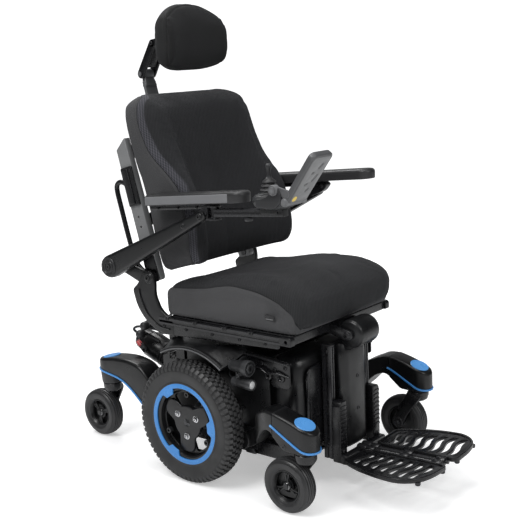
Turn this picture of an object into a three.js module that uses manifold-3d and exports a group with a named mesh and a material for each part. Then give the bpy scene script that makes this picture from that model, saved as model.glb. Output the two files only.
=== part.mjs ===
// Power wheelchair: suspended base with six wheels, tilting seat, reclining back, flip-up arms,
// a joystick with a display, a headrest, and a centre legrest with two folding footplates.
// Millimetres, +Z up, the front faces -Y. Pieces are drawn from the spot on the floor midway between
// the drive wheels, and at the end the whole chair moves so that its origin is the middle of its footprint.
import * as THREE from "three";
import { mergeVertices } from "three/addons/utils/BufferGeometryUtils.js";
import Module from "manifold-3d";

const wasm = await Module();
wasm.setup();

// Driving dimensions.
const gap = 0.3; // between pieces that rest on each other
const driveRadius = 178;
const driveMid = 281; // middle plane of a drive wheel, from the centre line
const driveHalf = 36;
const driveBore = 108; // where the tyre sits on its rim
const casterRadius = 76;
const casterHalf = 24.5;
const casterBore = 46;
const frontSwivel = { x: 290, y: -411, head: 180, trail: 55 };
const rearSwivel = { x: 173, y: 445, head: 190, trail: 54 };
const frontArmRoot = { y: -150, z: 140 };
const rearArmRoot = { y: 205, z: 130 };
const tiltHinge = { y: 110, z: 395 };
const reclineHinge = { y: 180, z: 568 };
const backLean = THREE.MathUtils.degToRad(14.8);
const armHinge = { y: 300, z: 598 };
const kneeHinge = { y: -392, z: 432 };
const railTop = 456;
const seatFloor = 463;
const actuatorBase = { y: 200, z: 150 };
const actuatorSeat = { y: -40, z: 405 };

// Finishes.
const finishes = {
  frameBlack: [0x1b1c1e, 0.5, 0.5],
  shroudBlack: [0x1d1e20, 0.45, 0.1],
  casting: [0x7c8084, 0.4, 0.8],
  tyreRubber: [0x3c3c3e, 0.85, 0],
  wheelBlack: [0x202124, 0.4, 0.3],
  blueTrim: [0x5b9bdb, 0.45, 0],
  seatFabric: [0x2e2f33, 0.95, 0],
  padVinyl: [0x45474a, 0.7, 0],
  greyArm: [0x6f7377, 0.5, 0.4],
  darkPlastic: [0x26282b, 0.5, 0],
  redLever: [0xb23033, 0.5, 0],
  bareSteel: [0xb4b7ba, 0.3, 0.9],
};

// Shapes. Side outlines are [y, z], front outlines [x, z] and plan outlines [x, y].
function outline(corners) {
  const shape = new THREE.Shape();
  const count = corners.length;
  corners.forEach((corner, i) => {
    const here = new THREE.Vector2(corner[0], corner[1]);
    const before = new THREE.Vector2(...corners[(i + count - 1) % count].slice(0, 2));
    const after = new THREE.Vector2(...corners[(i + 1) % count].slice(0, 2));
    const room = Math.min(here.distanceTo(before), here.distanceTo(after));
    const reach = Math.min(corner[2] ?? 0, 0.45 * room);
    const start = before.sub(here).setLength(reach).add(here);
    const end = after.sub(here).setLength(reach).add(here);
    if (i === 0) shape.moveTo(start.x, start.y);
    else shape.lineTo(start.x, start.y);
    if (reach > 0) shape.quadraticCurveTo(here.x, here.y, end.x, end.y);
  });
  shape.closePath();
  return shape;
}

// A bar with round ends, seen from the side: two circles and the lines that touch them both.
function linkOutline(from, to, fromRadius, toRadius) {
  const [ay, az] = from;
  const [by, bz] = to;
  const along = Math.atan2(bz - az, by - ay);
  const spread = Math.acos((fromRadius - toRadius) / Math.hypot(by - ay, bz - az));
  const shape = new THREE.Shape();
  shape.absarc(ay, az, fromRadius, along + spread, along - spread + 2 * Math.PI, false);
  shape.absarc(by, bz, toRadius, along - spread, along + spread, false);
  shape.closePath();
  return shape;
}

function extruded(shape, depth, curveSegments) {
  return new THREE.ExtrudeGeometry(shape, { depth, curveSegments, bevelEnabled: false });
}

function alongX(shape, x0, x1, curveSegments = 3) {
  const turn = new THREE.Matrix4().makeBasis(
    new THREE.Vector3(0, 1, 0),
    new THREE.Vector3(0, 0, 1),
    new THREE.Vector3(1, 0, 0),
  );
  return extruded(shape, x1 - x0, curveSegments).applyMatrix4(turn).translate(x0, 0, 0);
}

function alongY(shape, y0, y1, curveSegments = 3) {
  return extruded(shape, y1 - y0, curveSegments).rotateX(Math.PI / 2).translate(0, y1, 0);
}

function alongZ(shape, z0, z1, curveSegments = 3) {
  return extruded(shape, z1 - z0, curveSegments).translate(0, 0, z0);
}

function block(x0, x1, y0, y1, z0, z1) {
  const box = new THREE.BoxGeometry(x1 - x0, y1 - y0, z1 - z0);
  return box.translate((x0 + x1) / 2, (y0 + y1) / 2, (z0 + z1) / 2);
}

function barX(y, z, radius, x0, x1, sides = 18) {
  const bar = new THREE.CylinderGeometry(radius, radius, x1 - x0, sides);
  return bar.rotateZ(Math.PI / 2).translate((x0 + x1) / 2, y, z);
}

function barZ(x, y, radius, z0, z1, sides = 18, topRadius = radius) {
  const bar = new THREE.CylinderGeometry(topRadius, radius, z1 - z0, sides);
  return bar.rotateX(Math.PI / 2).translate(x, y, (z0 + z1) / 2);
}

function barBetween(from, to, radius, sides = 18, endRadius = radius) {
  const a = new THREE.Vector3(...from);
  const b = new THREE.Vector3(...to);
  const run = b.clone().sub(a);
  const bar = new THREE.CylinderGeometry(endRadius, radius, run.length(), sides);
  const turn = new THREE.Quaternion().setFromUnitVectors(new THREE.Vector3(0, 1, 0), run.normalize());
  const middle = a.add(b).multiplyScalar(0.5);
  return bar.applyQuaternion(turn).translate(middle.x, middle.y, middle.z);
}

// A turned piece about an axis along X: the profile is [radius, x] pairs.
function turnedX(profile, y, z, sides) {
  const turned = new THREE.LatheGeometry(profile.map(([r, x]) => new THREE.Vector2(r, x)), sides);
  return turned.rotateZ(-Math.PI / 2).translate(0, y, z);
}

function turnedZ(profile, x, y, sides) {
  const turned = new THREE.LatheGeometry(profile.map(([r, z]) => new THREE.Vector2(r, z)), sides);
  return turned.rotateX(Math.PI / 2).translate(x, y, 0);
}

// Joining and cutting closed shapes.
function toSolid(geometry) {
  const bare = geometry.clone();
  bare.deleteAttribute("normal");
  bare.deleteAttribute("uv");
  const merged = mergeVertices(bare, 1e-4);
  const triVerts = new Uint32Array(merged.index.array);
  const vertProperties = merged.attributes.position.array;
  const made = new wasm.Manifold(new wasm.Mesh({ numProp: 3, vertProperties, triVerts }));
  if (made.volume() > 0) return made;
  for (let i = 0; i < triVerts.length; i += 3) {
    [triVerts[i], triVerts[i + 1]] = [triVerts[i + 1], triVerts[i]];
  }
  return new wasm.Manifold(new wasm.Mesh({ numProp: 3, vertProperties, triVerts }));
}

function toGeometry(solid) {
  const mesh = solid.getMesh();
  const geometry = new THREE.BufferGeometry();
  const spots = new Float32Array(mesh.numVert * 3);
  for (let i = 0; i < mesh.numVert; i++) {
    spots.set(mesh.vertProperties.subarray(i * mesh.numProp, i * mesh.numProp + 3), i * 3);
  }
  geometry.setAttribute("position", new THREE.BufferAttribute(spots, 3));
  geometry.setIndex(new THREE.BufferAttribute(new Uint32Array(mesh.triVerts), 1));
  return geometry;
}

function join(...shapes) {
  return toGeometry(shapes.map(toSolid).reduce((all, next) => all.add(next)));
}

function cut(shape, ...tools) {
  return toGeometry(tools.map(toSolid).reduce((rest, tool) => rest.subtract(tool), toSolid(shape)));
}

function common(...shapes) {
  return toGeometry(shapes.map(toSolid).reduce((all, next) => all.intersect(next)));
}

function mirrored(geometry) {
  const copy = toGeometry(toSolid(geometry)).scale(-1, 1, 1);
  const index = copy.index.array;
  for (let i = 0; i < index.length; i += 3) {
    [index[i], index[i + 1]] = [index[i + 1], index[i]];
  }
  return copy;
}

// Back pieces are drawn upright over the recline hinge, then leaned to the rear.
function leaned(geometry) {
  geometry.translate(0, -reclineHinge.y, -reclineHinge.z);
  geometry.rotateX(-backLean);
  return geometry.translate(0, reclineHinge.y, reclineHinge.z);
}

// The same lean for one point: its distance behind the recline hinge and its height along the back.
function leanedPoint(behind, up) {
  const [c, s] = [Math.cos(backLean), Math.sin(backLean)];
  return { y: reclineHinge.y + behind * c + up * s, z: reclineHinge.z + up * c - behind * s };
}

const group = new THREE.Group();

function addPiece(name, geometry, finish) {
  const [color, roughness, metalness] = finishes[finish];
  const shape = toGeometry(toSolid(geometry));
  shape.computeVertexNormals();
  const mesh = new THREE.Mesh(shape, new THREE.MeshStandardMaterial({ color, roughness, metalness }));
  mesh.name = name;
  group.add(mesh);
}

// A piece drawn on the left (+X) side, and its mirror image on the right.
function addPair(name, geometry, finish) {
  addPiece(name + "_right", mirrored(geometry), finish);
  addPiece(name + "_left", geometry, finish);
}

// Base frame: a battery tray between two rails, the uprights of the tilt hinge and the arm pivots.
function chassisFrame() {
  const sides = [1, -1].map((side) => {
    const upright = alongX(
      outline([[80, 100], [145, 100], [128, 300], [126, 395, 14], [110, 413, 8], [94, 395, 14], [94, 300]]),
      182,
      197,
    );
    const half = join(
      block(170, 190, -306, 170, 84, 124),
      upright,
      barX(tiltHinge.y, tiltHinge.z, 8, 190, 223),
      block(185, 200, -172, -128, 100, 162),
      barX(frontArmRoot.y, frontArmRoot.z, 9, 190, 237),
      block(116, 131, 150, 222, 98, 152),
      barX(rearArmRoot.y, rearArmRoot.z, 9, 125, 207),
    );
    return side > 0 ? half : mirrored(half);
  });
  const lug = linkOutline([165, 112], [actuatorBase.y, actuatorBase.z], 14, 12);
  return join(
    ...sides,
    block(-175, 175, -306, -40, 86, 92),
    block(-175, 175, 145, 170, 92, 124),
    alongX(lug, 12, 18),
    alongX(lug, -18, -12),
    barX(actuatorBase.y, actuatorBase.z, 6, -15, 15),
  );
}

// Moulded cover over the front of the battery box, open to the rear.
function frontShroud() {
  const plan = (inset, rear) =>
    outline([
      [-176 + inset, rear],
      [-176 + inset, -296 + inset, 24],
      [-120, -318 + inset, 26],
      [120, -318 + inset, 26],
      [176 - inset, -296 + inset, 24],
      [176 - inset, rear],
    ]);
  const side = outline([[-330, 107], [-330, 340], [-318, 368, 18], [-280, 380, 20], [-200, 380], [-200, 107]]);
  return cut(
    common(alongZ(plan(0, -232), 107, 380), alongX(side, -180, 180)),
    alongZ(plan(4, -200), 100, 374),
    block(-200, 200, -311, -200, 100, 128),
  );
}

// Tunnel over the batteries and motors with an arch over each drive wheel.
function bodyShroud() {
  const outer = outline([
    [-228, 165], [-228, 378, 8], [-110, 392, 20], [66, 392, 24], [100, 352, 16], [178, 325], [178, 165],
  ]);
  const inner = outline([
    [-260, 150], [-260, 374], [-110, 388, 20], [64, 388, 24], [98, 348, 16], [200, 316], [200, 150],
  ]);
  const arch = new THREE.Shape();
  const rearEnd = Math.acos(100 / 212);
  const frontEnd = Math.PI - Math.acos(120 / 212);
  arch.absarc(0, driveRadius, 222, rearEnd, frontEnd, false);
  arch.absarc(0, driveRadius, 212, frontEnd, rearEnd, true);
  arch.closePath();
  const archLeft = alongX(arch, 200, 285, 8);
  const shell = join(alongX(outer, -202, 202), archLeft, mirrored(archLeft));
  return cut(
    shell,
    alongX(inner, -198, 198),
    barX(0, driveRadius, 54, 190, 212),
    barX(0, driveRadius, 54, -212, -190),
    block(178, 230, 78, 150, 320, 420),
    block(-230, -178, 78, 150, 320, 420),
    block(-36, 36, -90, 190, 300, 420),
  );
}

function battery() {
  const plan = outline([[4, -288, 6], [164, -288, 6], [164, -60, 6], [4, -60, 6]]);
  return join(
    alongZ(plan, 92.3, 286, 2),
    block(10, 158, -282, -66, 285, 294),
    barZ(30, -80, 8, 290, 302, 12),
    barZ(138, -80, 8, 290, 302, 12),
  );
}

// Worm gearbox at the wheel with the motor and brake running up to the rear.
function gearmotor() {
  return join(
    barX(0, driveRadius, 48, 112, 243, 24),
    barX(0, driveRadius, 12, 240, 300, 16),
    block(62, 126, -42, 60, 138, 226),
    block(172, 188, -30, 30, 124.3, 150),
    barBetween([84, 20, 185], [84, 352, 309.5], 42, 24),
    barBetween([84, 340, 305], [84, 388, 323], 36, 24, 30),
    barX(330, 300, 4, 110, 134, 10),
  );
}

function releaseLever() {
  return cut(alongX(linkOutline([330, 300], [356, 322], 9, 7), 127.5, 135.5), barX(330, 300, 4.3, 120, 140, 12));
}

function controlModule() {
  const plan = outline([[34, -250, 8], [158, -250, 8], [158, -110, 8], [34, -110, 8]]);
  return alongZ(plan, 303, 346, 2);
}

// Lamp cluster on the front of the fender: a tapered lamp over a round reflector.
function headlamp() {
  return join(
    block(202.3, 232, -176, -160, 306, 368),
    barBetween([250, -134, 360], [250, -206, 360], 17, 18, 22),
    barBetween([250, -140, 314], [250, -214, 314], 15, 16),
    block(228, 256, -172, -158, 310, 366),
  );
}

// Drive wheel: a bored tyre, a rim with a three-window web, and the trim ring on its face.
function driveTyre() {
  const m = driveMid;
  return turnedX(
    [
      [driveBore, m - 28], [driveBore, m + 28], [122, m + 28], [126, m + 34], [150, m + driveHalf],
      [170, m + 32], [driveRadius, m + 18], [driveRadius, m - 18], [170, m - 32], [150, m - driveHalf],
      [126, m - 34], [122, m - 28], [driveBore, m - 28],
    ],
    0,
    driveRadius,
    36,
  );
}

function driveRim() {
  const outer = driveBore - gap;
  const m = driveMid;
  const barrel = turnedX(
    [[92, m - 27], [92, m + 27.5], [outer, m + 27.5], [outer, m - 27], [92, m - 27]],
    0,
    driveRadius,
    36,
  );
  const window = new THREE.Shape();
  window.absarc(0, 0, 84, 0.42, 1.68, false);
  window.absarc(0, 0, 42, 1.58, 0.52, true);
  window.closePath();
  const windows = [0, 1, 2].map((turn) =>
    alongX(window, m, m + 20)
      .rotateX((turn * 2 * Math.PI) / 3)
      .translate(0, 0, driveRadius),
  );
  return cut(
    join(
      barrel,
      barX(0, driveRadius, 96, m + 5, m + 13, 32),
      barX(0, driveRadius, 34, m - 20, m + 16, 24),
    ),
    ...windows,
    barX(0, driveRadius, 12.3, m - 40, m + 19.5, 16),
  );
}

function driveRing() {
  const face = driveMid + 28 + gap;
  const lobe = (turn) =>
    alongX(outline([[88, -17, 8], [110, -28], [110, 28], [88, 17, 8]]), face, face + 4.5).rotateX(turn);
  const flat = join(
    cut(barX(0, 0, 119, face, face + 4.5, 36), barX(0, 0, 104, face - 5, face + 10, 36)),
    ...[0, 1, 2].map((turn) => lobe((turn * 2 * Math.PI) / 3 + 0.1)),
  );
  return flat.translate(0, 0, driveRadius);
}

// Suspension arms: a side outline crossed with a plan outline, with a pivot and a swivel barrel.
function frontArm() {
  const side = outline([
    [-126, 150, 12], [-132, 120, 10], [-168, 116, 12], [-213, 142, 14], [-252, 178, 14], [-292, 222, 14],
    [-318, 222, 14], [-360, 182, 10], [-452, 182, 6], [-452, 240, 8], [-436, 252, 10],
    [-330, 281, 30], [-252, 263, 24], [-196, 188, 24], [-150, 166, 14], [-132, 164, 6],
  ]);
  const plan = outline([
    [204, -120], [204, -240, 30], [257, -330, 30], [257, -452, 32], [323, -452, 32], [323, -330, 36],
    [300, -250, 40], [236, -206, 20], [236, -120],
  ]);
  return cut(
    join(
      common(alongX(side, 190, 340), alongZ(plan, 90, 300)),
      barZ(frontSwivel.x, frontSwivel.y, 30, frontSwivel.head, 230, 24),
    ),
    barX(frontArmRoot.y, frontArmRoot.z, 9.3, 190, 250, 16),
    barZ(frontSwivel.x, frontSwivel.y, 12.3, 150, 242, 16),
  );
}

function rearArm() {
  const side = outline([
    [182, 112, 12], [214, 104, 14], [256, 134, 20], [285, 159, 20], [368, 215, 30], [482, 232, 6],
    [482, 258, 14], [448, 274, 16], [360, 284, 40], [272, 270, 40], [232, 226, 24], [186, 156, 14],
  ]);
  const plan = outline([[137, 170], [137, 481, 34], [209, 481, 34], [209, 170]]);
  return cut(
    join(
      common(alongX(side, 100, 240), alongZ(plan, 90, 300)),
      barZ(rearSwivel.x, rearSwivel.y, 30, rearSwivel.head, 240, 24, 34),
    ),
    barX(rearArmRoot.y, rearArmRoot.z, 9.3, 120, 240, 16),
    barZ(rearSwivel.x, rearSwivel.y, 12.3, 150, 252, 16),
  );
}

// Caster: a one-sided fork with its stem and axle, a three-spoke hub and a grooved tyre.
function casterFork(swivel) {
  const axleY = swivel.y + swivel.trail;
  const inner = swivel.x - casterHalf;
  const legSide = linkOutline([axleY, casterRadius], [swivel.y + 8, swivel.head - 22], 18, 20);
  const leg = alongX(legSide, inner - 14, inner - 4);
  return join(
    leg,
    barZ(swivel.x, swivel.y, 12, swivel.head - 8, swivel.head + 50, 16),
    barZ(swivel.x, swivel.y, 29, swivel.head - 20, swivel.head - 0.8, 24),
    block(inner - 14, swivel.x, swivel.y - 16, swivel.y + 18, swivel.head - 20, swivel.head - 6),
    barX(axleY, casterRadius, 8, inner - 10, swivel.x + casterHalf - 4, 12),
  );
}

function casterHub(swivel) {
  const y = swivel.y + swivel.trail;
  const m = swivel.x;
  const window = new THREE.Shape();
  window.absarc(0, 0, 36, 0.4, 1.7, false);
  window.absarc(0, 0, 17, 1.5, 0.6, true);
  window.closePath();
  const windows = [0, 1, 2].map((turn) =>
    alongX(window, m - 30, m + 30).rotateX((turn * 2 * Math.PI) / 3).translate(0, y, casterRadius),
  );
  const barrel = turnedX(
    [[39, m - 20], [39, m + 20], [casterBore - gap, m + 20], [casterBore - gap, m - 20], [39, m - 20]],
    y,
    casterRadius,
    24,
  );
  return cut(
    join(
      barrel,
      cut(barX(y, casterRadius, 41, m + 4, m + 12, 24), ...windows),
      barX(y, casterRadius, 15, m - 20, m + 18, 18),
    ),
    barX(y, casterRadius, 8.3, m - 60, m + 30, 12),
  );
}

function casterTyre(swivel) {
  const y = swivel.y + swivel.trail;
  const m = swivel.x;
  const w = casterHalf;
  return turnedX(
    [
      [casterBore, m - 20], [casterBore, m + 20], [54, m + w], [66, m + w], [casterRadius, m + 13],
      [casterRadius, m - 13], [66, m - w], [54, m - w], [casterBore, m - 20],
    ],
    y,
    casterRadius,
    28,
  );
}

// Seat frame: side rails, seat pan, tilt hinge lugs, rear brackets and the knee hinge lugs.
function seatFrame() {
  const rail = outline([
    [145, 404], [145, railTop], [-296, railTop], [-332, railTop + 3, 6], [-332, 440, 6], [-290, 423],
  ]);
  const bracket = outline([
    [90, 404], [200, 404, 10], [206, 440, 20], [258, 530, 20], [322, 576, 18], [322, 612, 18],
    [276, 620, 18], [200, 594, 10], [160, 594, 16], [158, 552, 16], [178, 530, 12], [136, railTop, 6],
    [90, railTop],
  ]);
  const lug = outline([[94, 412], [94, 379, 14], [126, 379, 14], [126, 412]]);
  const half = join(
    alongX(rail, 225, 240),
    alongX(bracket, 226, 240),
    alongX(lug, 200.5, 222),
    block(200.5, 230, 94, 126, 408, 430),
    barX(reclineHinge.y, reclineHinge.z, 9, 190, 230),
    barX(armHinge.y, armHinge.z, 10, 235, 284),
  );
  const knee = alongX(linkOutline([-328, 446], [kneeHinge.y, kneeHinge.z], 12, 18), 49, 60);
  return cut(
    join(
      half,
      mirrored(half),
      block(-230, 230, -332, 108, seatFloor - 6, seatFloor),
      block(-230, 230, -338, -312, 436, 460),
      barX(70, 434, 14, -230, 230),
      barX(actuatorSeat.y, 437, 12, -230, 230),
      alongX(linkOutline([actuatorSeat.y, 430], [actuatorSeat.y, actuatorSeat.z], 12, 12), 16, 22),
      alongX(linkOutline([actuatorSeat.y, 430], [actuatorSeat.y, actuatorSeat.z], 12, 12), -22, -16),
      knee,
      mirrored(knee),
      barX(kneeHinge.y, kneeHinge.z, 8, -55, 55, 16),
    ),
    barX(tiltHinge.y, tiltHinge.z, 8.3, 196, 224),
    barX(tiltHinge.y, tiltHinge.z, 8.3, -224, -196),
  );
}

function seatCushion() {
  const side = outline([
    [112, seatFloor + gap, 6], [133, 523, 14], [122, 557, 16], [60, 576, 30], [-60, 582, 40],
    [-200, 590, 60], [-320, 586, 40], [-374, 556, 40], [-374, 500, 30], [-344, seatFloor + gap, 10],
  ]);
  const plan = outline([
    [-240, 140, 20], [240, 140, 20], [240, -340, 60], [180, -380, 40], [-180, -380, 40], [-240, -340, 60],
  ]);
  const front = outline([
    [-240, 450], [240, 450], [240, 562, 24], [190, 592, 40], [-190, 592, 40], [-240, 562, 24],
  ]);
  return common(alongX(side, -242, 242, 5), alongZ(plan, 450, 620, 4), alongY(front, -400, 150));
}

// Tilt actuator between the rear of the base and the seat frame.
const actuatorRun = new THREE.Vector2(actuatorSeat.y - actuatorBase.y, actuatorSeat.z - actuatorBase.z);
function alongActuator(distance) {
  const step = actuatorRun.clone().setLength(distance);
  return [0, actuatorBase.y + step.x, actuatorBase.z + step.y];
}

function tiltTube() {
  return cut(
    join(
      barX(actuatorBase.y, actuatorBase.z, 13, -11.5, 11.5),
      barBetween(alongActuator(0), alongActuator(40), 10, 12),
      barBetween(alongActuator(32), alongActuator(225), 20),
      barBetween([0, 196, 200], [0, 130, 270], 16, 16),
    ),
    barX(actuatorBase.y, actuatorBase.z, 6.3, -30, 30, 16),
    barBetween(alongActuator(45), alongActuator(240), 9.4, 16),
  );
}

function tiltRod() {
  return barBetween(alongActuator(50), alongActuator(actuatorRun.length() - 15), 9, 16);
}

// Reclining back, drawn upright: canes, cross members, a stiff shell and a winged cushion.
function backFrame() {
  const { y, z } = reclineHinge;
  const cane = cut(
    alongX(
      outline([[y - 26, z - 14, 12], [y + 26, z - 14, 12], [y + 26, z + 386], [y - 20, z + 414, 6]]),
      193,
      217,
    ),
    barX(y, z, 9.3, 180, 222, 16),
  );
  const receiver = cut(
    block(-40, 40, y - 24, y + 50, z + 340, z + 420),
    block(-30.5, 30.5, y + 32.5, y + 43.5, z + 330, z + 430),
  );
  return leaned(
    join(
      cane,
      mirrored(cane),
      block(-198, 198, y - 24, y - 2, z + 150, z + 186),
      block(-198, 198, y - 24, y - 2, z + 352, z + 392),
      receiver,
    ),
  );
}

function backShell() {
  const { y, z } = reclineHinge;
  const face = outline([
    [-188, z + 20, 20], [188, z + 20, 20], [188, z + 440, 60], [120, z + 480, 40], [-120, z + 480, 40],
    [-188, z + 440, 60],
  ]);
  return leaned(alongY(face, y - 27.6, y - 24.3, 4));
}

function backCushion() {
  const { y, z } = reclineHinge;
  const rear = y - 27.9;
  const plan = outline([
    [-206, rear, 16], [-217, y - 150, 40], [-208, y - 222, 22], [-176, y - 222, 22], [-150, y - 140, 50],
    [0, y - 118], [150, y - 140, 50], [176, y - 222, 22], [208, y - 222, 22], [217, y - 150, 40], [206, rear, 16],
  ]);
  const face = outline([
    [-217, z + 6, 24], [217, z + 6, 24], [217, z + 300, 100], [204, z + 440, 60], [176, z + 506, 50],
    [90, z + 526, 60], [-90, z + 526, 60], [-176, z + 506, 50], [-204, z + 440, 60], [-217, z + 300, 100],
  ]);
  const side = outline([
    [rear, z], [rear, z + 530], [y - 120, z + 530, 40], [y - 152, z + 470, 60], [y - 146, z + 350, 60],
    [y - 218, z + 230, 50], [y - 200, z],
  ]);
  return leaned(common(alongZ(plan, z, z + 530), alongY(face, y - 230, rear), alongX(side, -230, 230)));
}

// Headrest: a flat sliding post, a hinged link and a contoured pad.
function headrestPost() {
  const { y, z } = reclineHinge;
  return leaned(
    join(
      block(-30, 30, y + 33, y + 43, z + 240, z + 592),
      barX(y + 38, z + 612, 14, -16, 16),
      block(-16, 16, y + 32, y + 44, z + 585, z + 612),
      barX(y + 38, z + 612, 7, -32, 32, 16),
    ),
  );
}

const headrestHinge = leanedPoint(38, 612);
const linkElbow = { y: 318, z: 1240 };
const padHinge = { y: 262, z: 1248 };

function headrestLink() {
  const lower = linkOutline([headrestHinge.y, headrestHinge.z], [linkElbow.y, linkElbow.z], 13, 12);
  const upper = linkOutline([linkElbow.y, linkElbow.z], [padHinge.y, padHinge.z], 12, 11);
  const plates = [lower, upper].map((shape) => alongX(shape, 20, 28));
  return cut(
    join(
      ...plates,
      ...plates.map(mirrored),
      barX(padHinge.y, padHinge.z, 7, -26, 26, 16),
      alongX(linkOutline([346, 1192], [linkElbow.y, linkElbow.z], 9, 9), -24, 24),
    ),
    barX(headrestHinge.y, headrestHinge.z, 7.3, -40, 40, 16),
  );
}

function headrestPad() {
  const plan = outline([
    [-124, 178, 24], [-116, 134, 26], [-66, 168, 40], [66, 168, 40], [116, 134, 26], [124, 178, 24],
    [108, 220, 30], [64, 238, 30], [-64, 238, 30], [-108, 220, 30],
  ]);
  const face = outline([
    [-118, 1180, 50], [-60, 1157, 40], [60, 1157, 40], [118, 1180, 50], [126, 1260, 40], [96, 1326, 60],
    [40, 1341, 30], [-40, 1341, 30], [-96, 1326, 60], [-126, 1260, 40],
  ]);
  const ear = linkOutline([padHinge.y, padHinge.z], [232, padHinge.z], 12, 12);
  return cut(
    join(common(alongZ(plan, 1150, 1345), alongY(face, 100, 300, 4)), alongX(ear, -12, 12)),
    barX(padHinge.y, padHinge.z, 7.3, -30, 30, 16),
  );
}

// Arms: a tapered tube from the rear pivot, a rail under the pad, and a clevis at the tip.
const padSlope = 0.08;
function padUnderside(y) {
  return 799 - padSlope * y;
}

function armTube() {
  const web = linkOutline([armHinge.y, armHinge.z], [-75, 773], 34, 14);
  const rail = outline([
    [130, padUnderside(130) - 14], [130, padUnderside(130) - gap], [-92, padUnderside(-92) - gap],
    [-92, padUnderside(-92) - 14],
  ]);
  const tongue = outline([
    [241, -86], [241, -110, 10], [248, -124, 6], [262, -124, 6], [269, -110, 10], [269, -86],
  ]);
  const clevis = (z0, z1) => alongZ(tongue, z0, z1);
  return cut(
    join(
      alongX(web, 246, 282, 8),
      alongX(rail, 238, 262),
      clevis(762, 769),
      clevis(797, 804),
      block(241, 269, -94, -80, 762, 804),
    ),
    barX(armHinge.y, armHinge.z, 10.3, 240, 290, 16),
  );
}

function armPad(front) {
  const rear = 140;
  const side = outline([
    [rear, padUnderside(rear) + gap, 4], [rear, padUnderside(rear) + 30, 12],
    [front, padUnderside(front) + 32, 14], [front, padUnderside(front), 8],
  ]);
  const plan = outline([[219, rear, 8], [281, rear, 8], [281, front, 24], [219, front, 24]]);
  return common(alongX(side, 210, 290), alongZ(plan, 770, 900));
}

// Joystick mount, pod, display and controls, all at the right arm.
const stick = { x: -258, y: -302, z: 835 };
const mountPivot = { x: -255, y: -110 };
const displayHinge = { y: -350, z: 860 };

function joystickMount() {
  const tube = outline([[-112, 772], [-112, 792], [-346, 807], [-346, 787]]);
  return join(
    barZ(mountPivot.x, mountPivot.y, 13.5, 769.4, 796.6),
    alongX(tube, mountPivot.x - 10, mountPivot.x + 10),
  );
}

function joystickPod() {
  const plan = outline([[-300, -262, 16], [-216, -262, 16], [-216, -365, 20], [-300, -365, 20]]);
  const bracket = linkOutline([-352, 838], [displayHinge.y, displayHinge.z], 12, 12);
  return cut(
    join(
      alongZ(plan, 808, 843, 4),
      alongX(bracket, -306, -300.5),
      block(-306, -296, -362, -342, 824, 842),
      barX(displayHinge.y, displayHinge.z, 5, -304, -290, 14),
    ),
    barZ(stick.x, stick.y, 26, 822, 850, 24),
    barZ(-240, -348, 7.3, 839, 850, 16),
    barZ(-276, -348, 7.3, 839, 850, 16),
    block(-302, -290, -380, -364, 800, 880),
  );
}

function joystickDisplay() {
  const panel = outline([[-372, 832, 8], [-466, 958, 10], [-480, 946, 10], [-388, 822, 8]]);
  const ear = linkOutline([displayHinge.y, displayHinge.z], [-386, 858], 10, 10);
  return cut(
    join(alongX(panel, -300, -214), alongX(ear, -299, -290)),
    barX(displayHinge.y, displayHinge.z, 5.3, -304, -286, 14),
  );
}

function joystickStick() {
  const { x, y, z } = stick;
  return turnedZ(
    [
      [0, z + 4], [4, z + 4], [4, z + 14], [16, z + 15], [20, z + 20], [17, z + 26], [18, z + 32],
      [14, z + 38], [15, z + 44], [10, z + 50], [10, z + 62], [7, z + 72], [8, z + 80], [5, z + 85], [0, z + 86],
    ],
    x,
    y,
    20,
  );
}

function button(x) {
  return barZ(x, -348, 7, 841.3, 846, 16, 6.4);
}

// Centre legrest: hinged column, sliding footplate carrier and two folding plates.
function legrestColumn() {
  const cover = outline([[-62, -340], [-62, -366, 10], [-40, -380, 16], [40, -380, 16], [62, -366, 10], [62, -340]]);
  const sideRail = block(78, 92, -360, -328, 76, 404);
  return cut(
    join(
      alongZ(cover, 100, 400),
      sideRail,
      mirrored(sideRail),
      block(-88, 88, -352, -336, 372, 398),
      block(-88, 88, -352, -336, 104, 130),
      barX(kneeHinge.y, kneeHinge.z, 40, -46, 46, 28),
      alongX(outline([[-428, 432], [-376, 380], [-345, 380], [-356, 420]]), -46, 46),
    ),
    barX(kneeHinge.y, kneeHinge.z, 8.3, -60, 60, 16),
  );
}

function legrestSlider() {
  const runner = block(67, 100, -391, -360.4, 72, 250);
  return join(
    runner,
    mirrored(runner),
    block(-100, 100, -408, -389, 72, 98),
    barBetween([12, -395, 92], [12, -660, 101], 5, 12),
    barBetween([-12, -395, 92], [-12, -660, 101], 5, 12),
  );
}

const plateHinge = { x: 12, y: -420, z: 93 };

function footplate() {
  const plan = outline([
    [24, -440], [30, -424, 6], [136, -424, 16], [164, -480, 24], [184, -560, 30], [186, -624, 30], [150, -670, 24],
    [100, -680, 20], [30, -680, 6], [24, -664],
  ]);
  const slots = [0, 1, 2, 3, 4, 5, 6].map((i) =>
    block(44, 142 + i * 2.5, -462 - i * 30, -452 - i * 30, 50, 150),
  );
  const plate = cut(alongZ(plan, plateHinge.z - 6, plateHinge.z + 6), ...slots);
  const knuckles = [-432, -540, -640].map((y) =>
    join(
      barBetween([plateHinge.x, y - 12, plateHinge.z], [plateHinge.x, y + 12, plateHinge.z], 9, 14),
      block(plateHinge.x, 34, y - 12, y + 12, plateHinge.z - 6, plateHinge.z + 2),
    ),
  );
  const rise = Math.atan2(9, 265);
  const lifted = join(plate, ...knuckles)
    .translate(0, 395, -plateHinge.z)
    .rotateX(-rise)
    .translate(0, -395, 92);
  const pinAt = (y) => [12, y, 92 - (y + 395) * Math.tan(rise)];
  return cut(lifted, barBetween(pinAt(-380), pinAt(-700), 5.3, 12));
}

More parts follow.
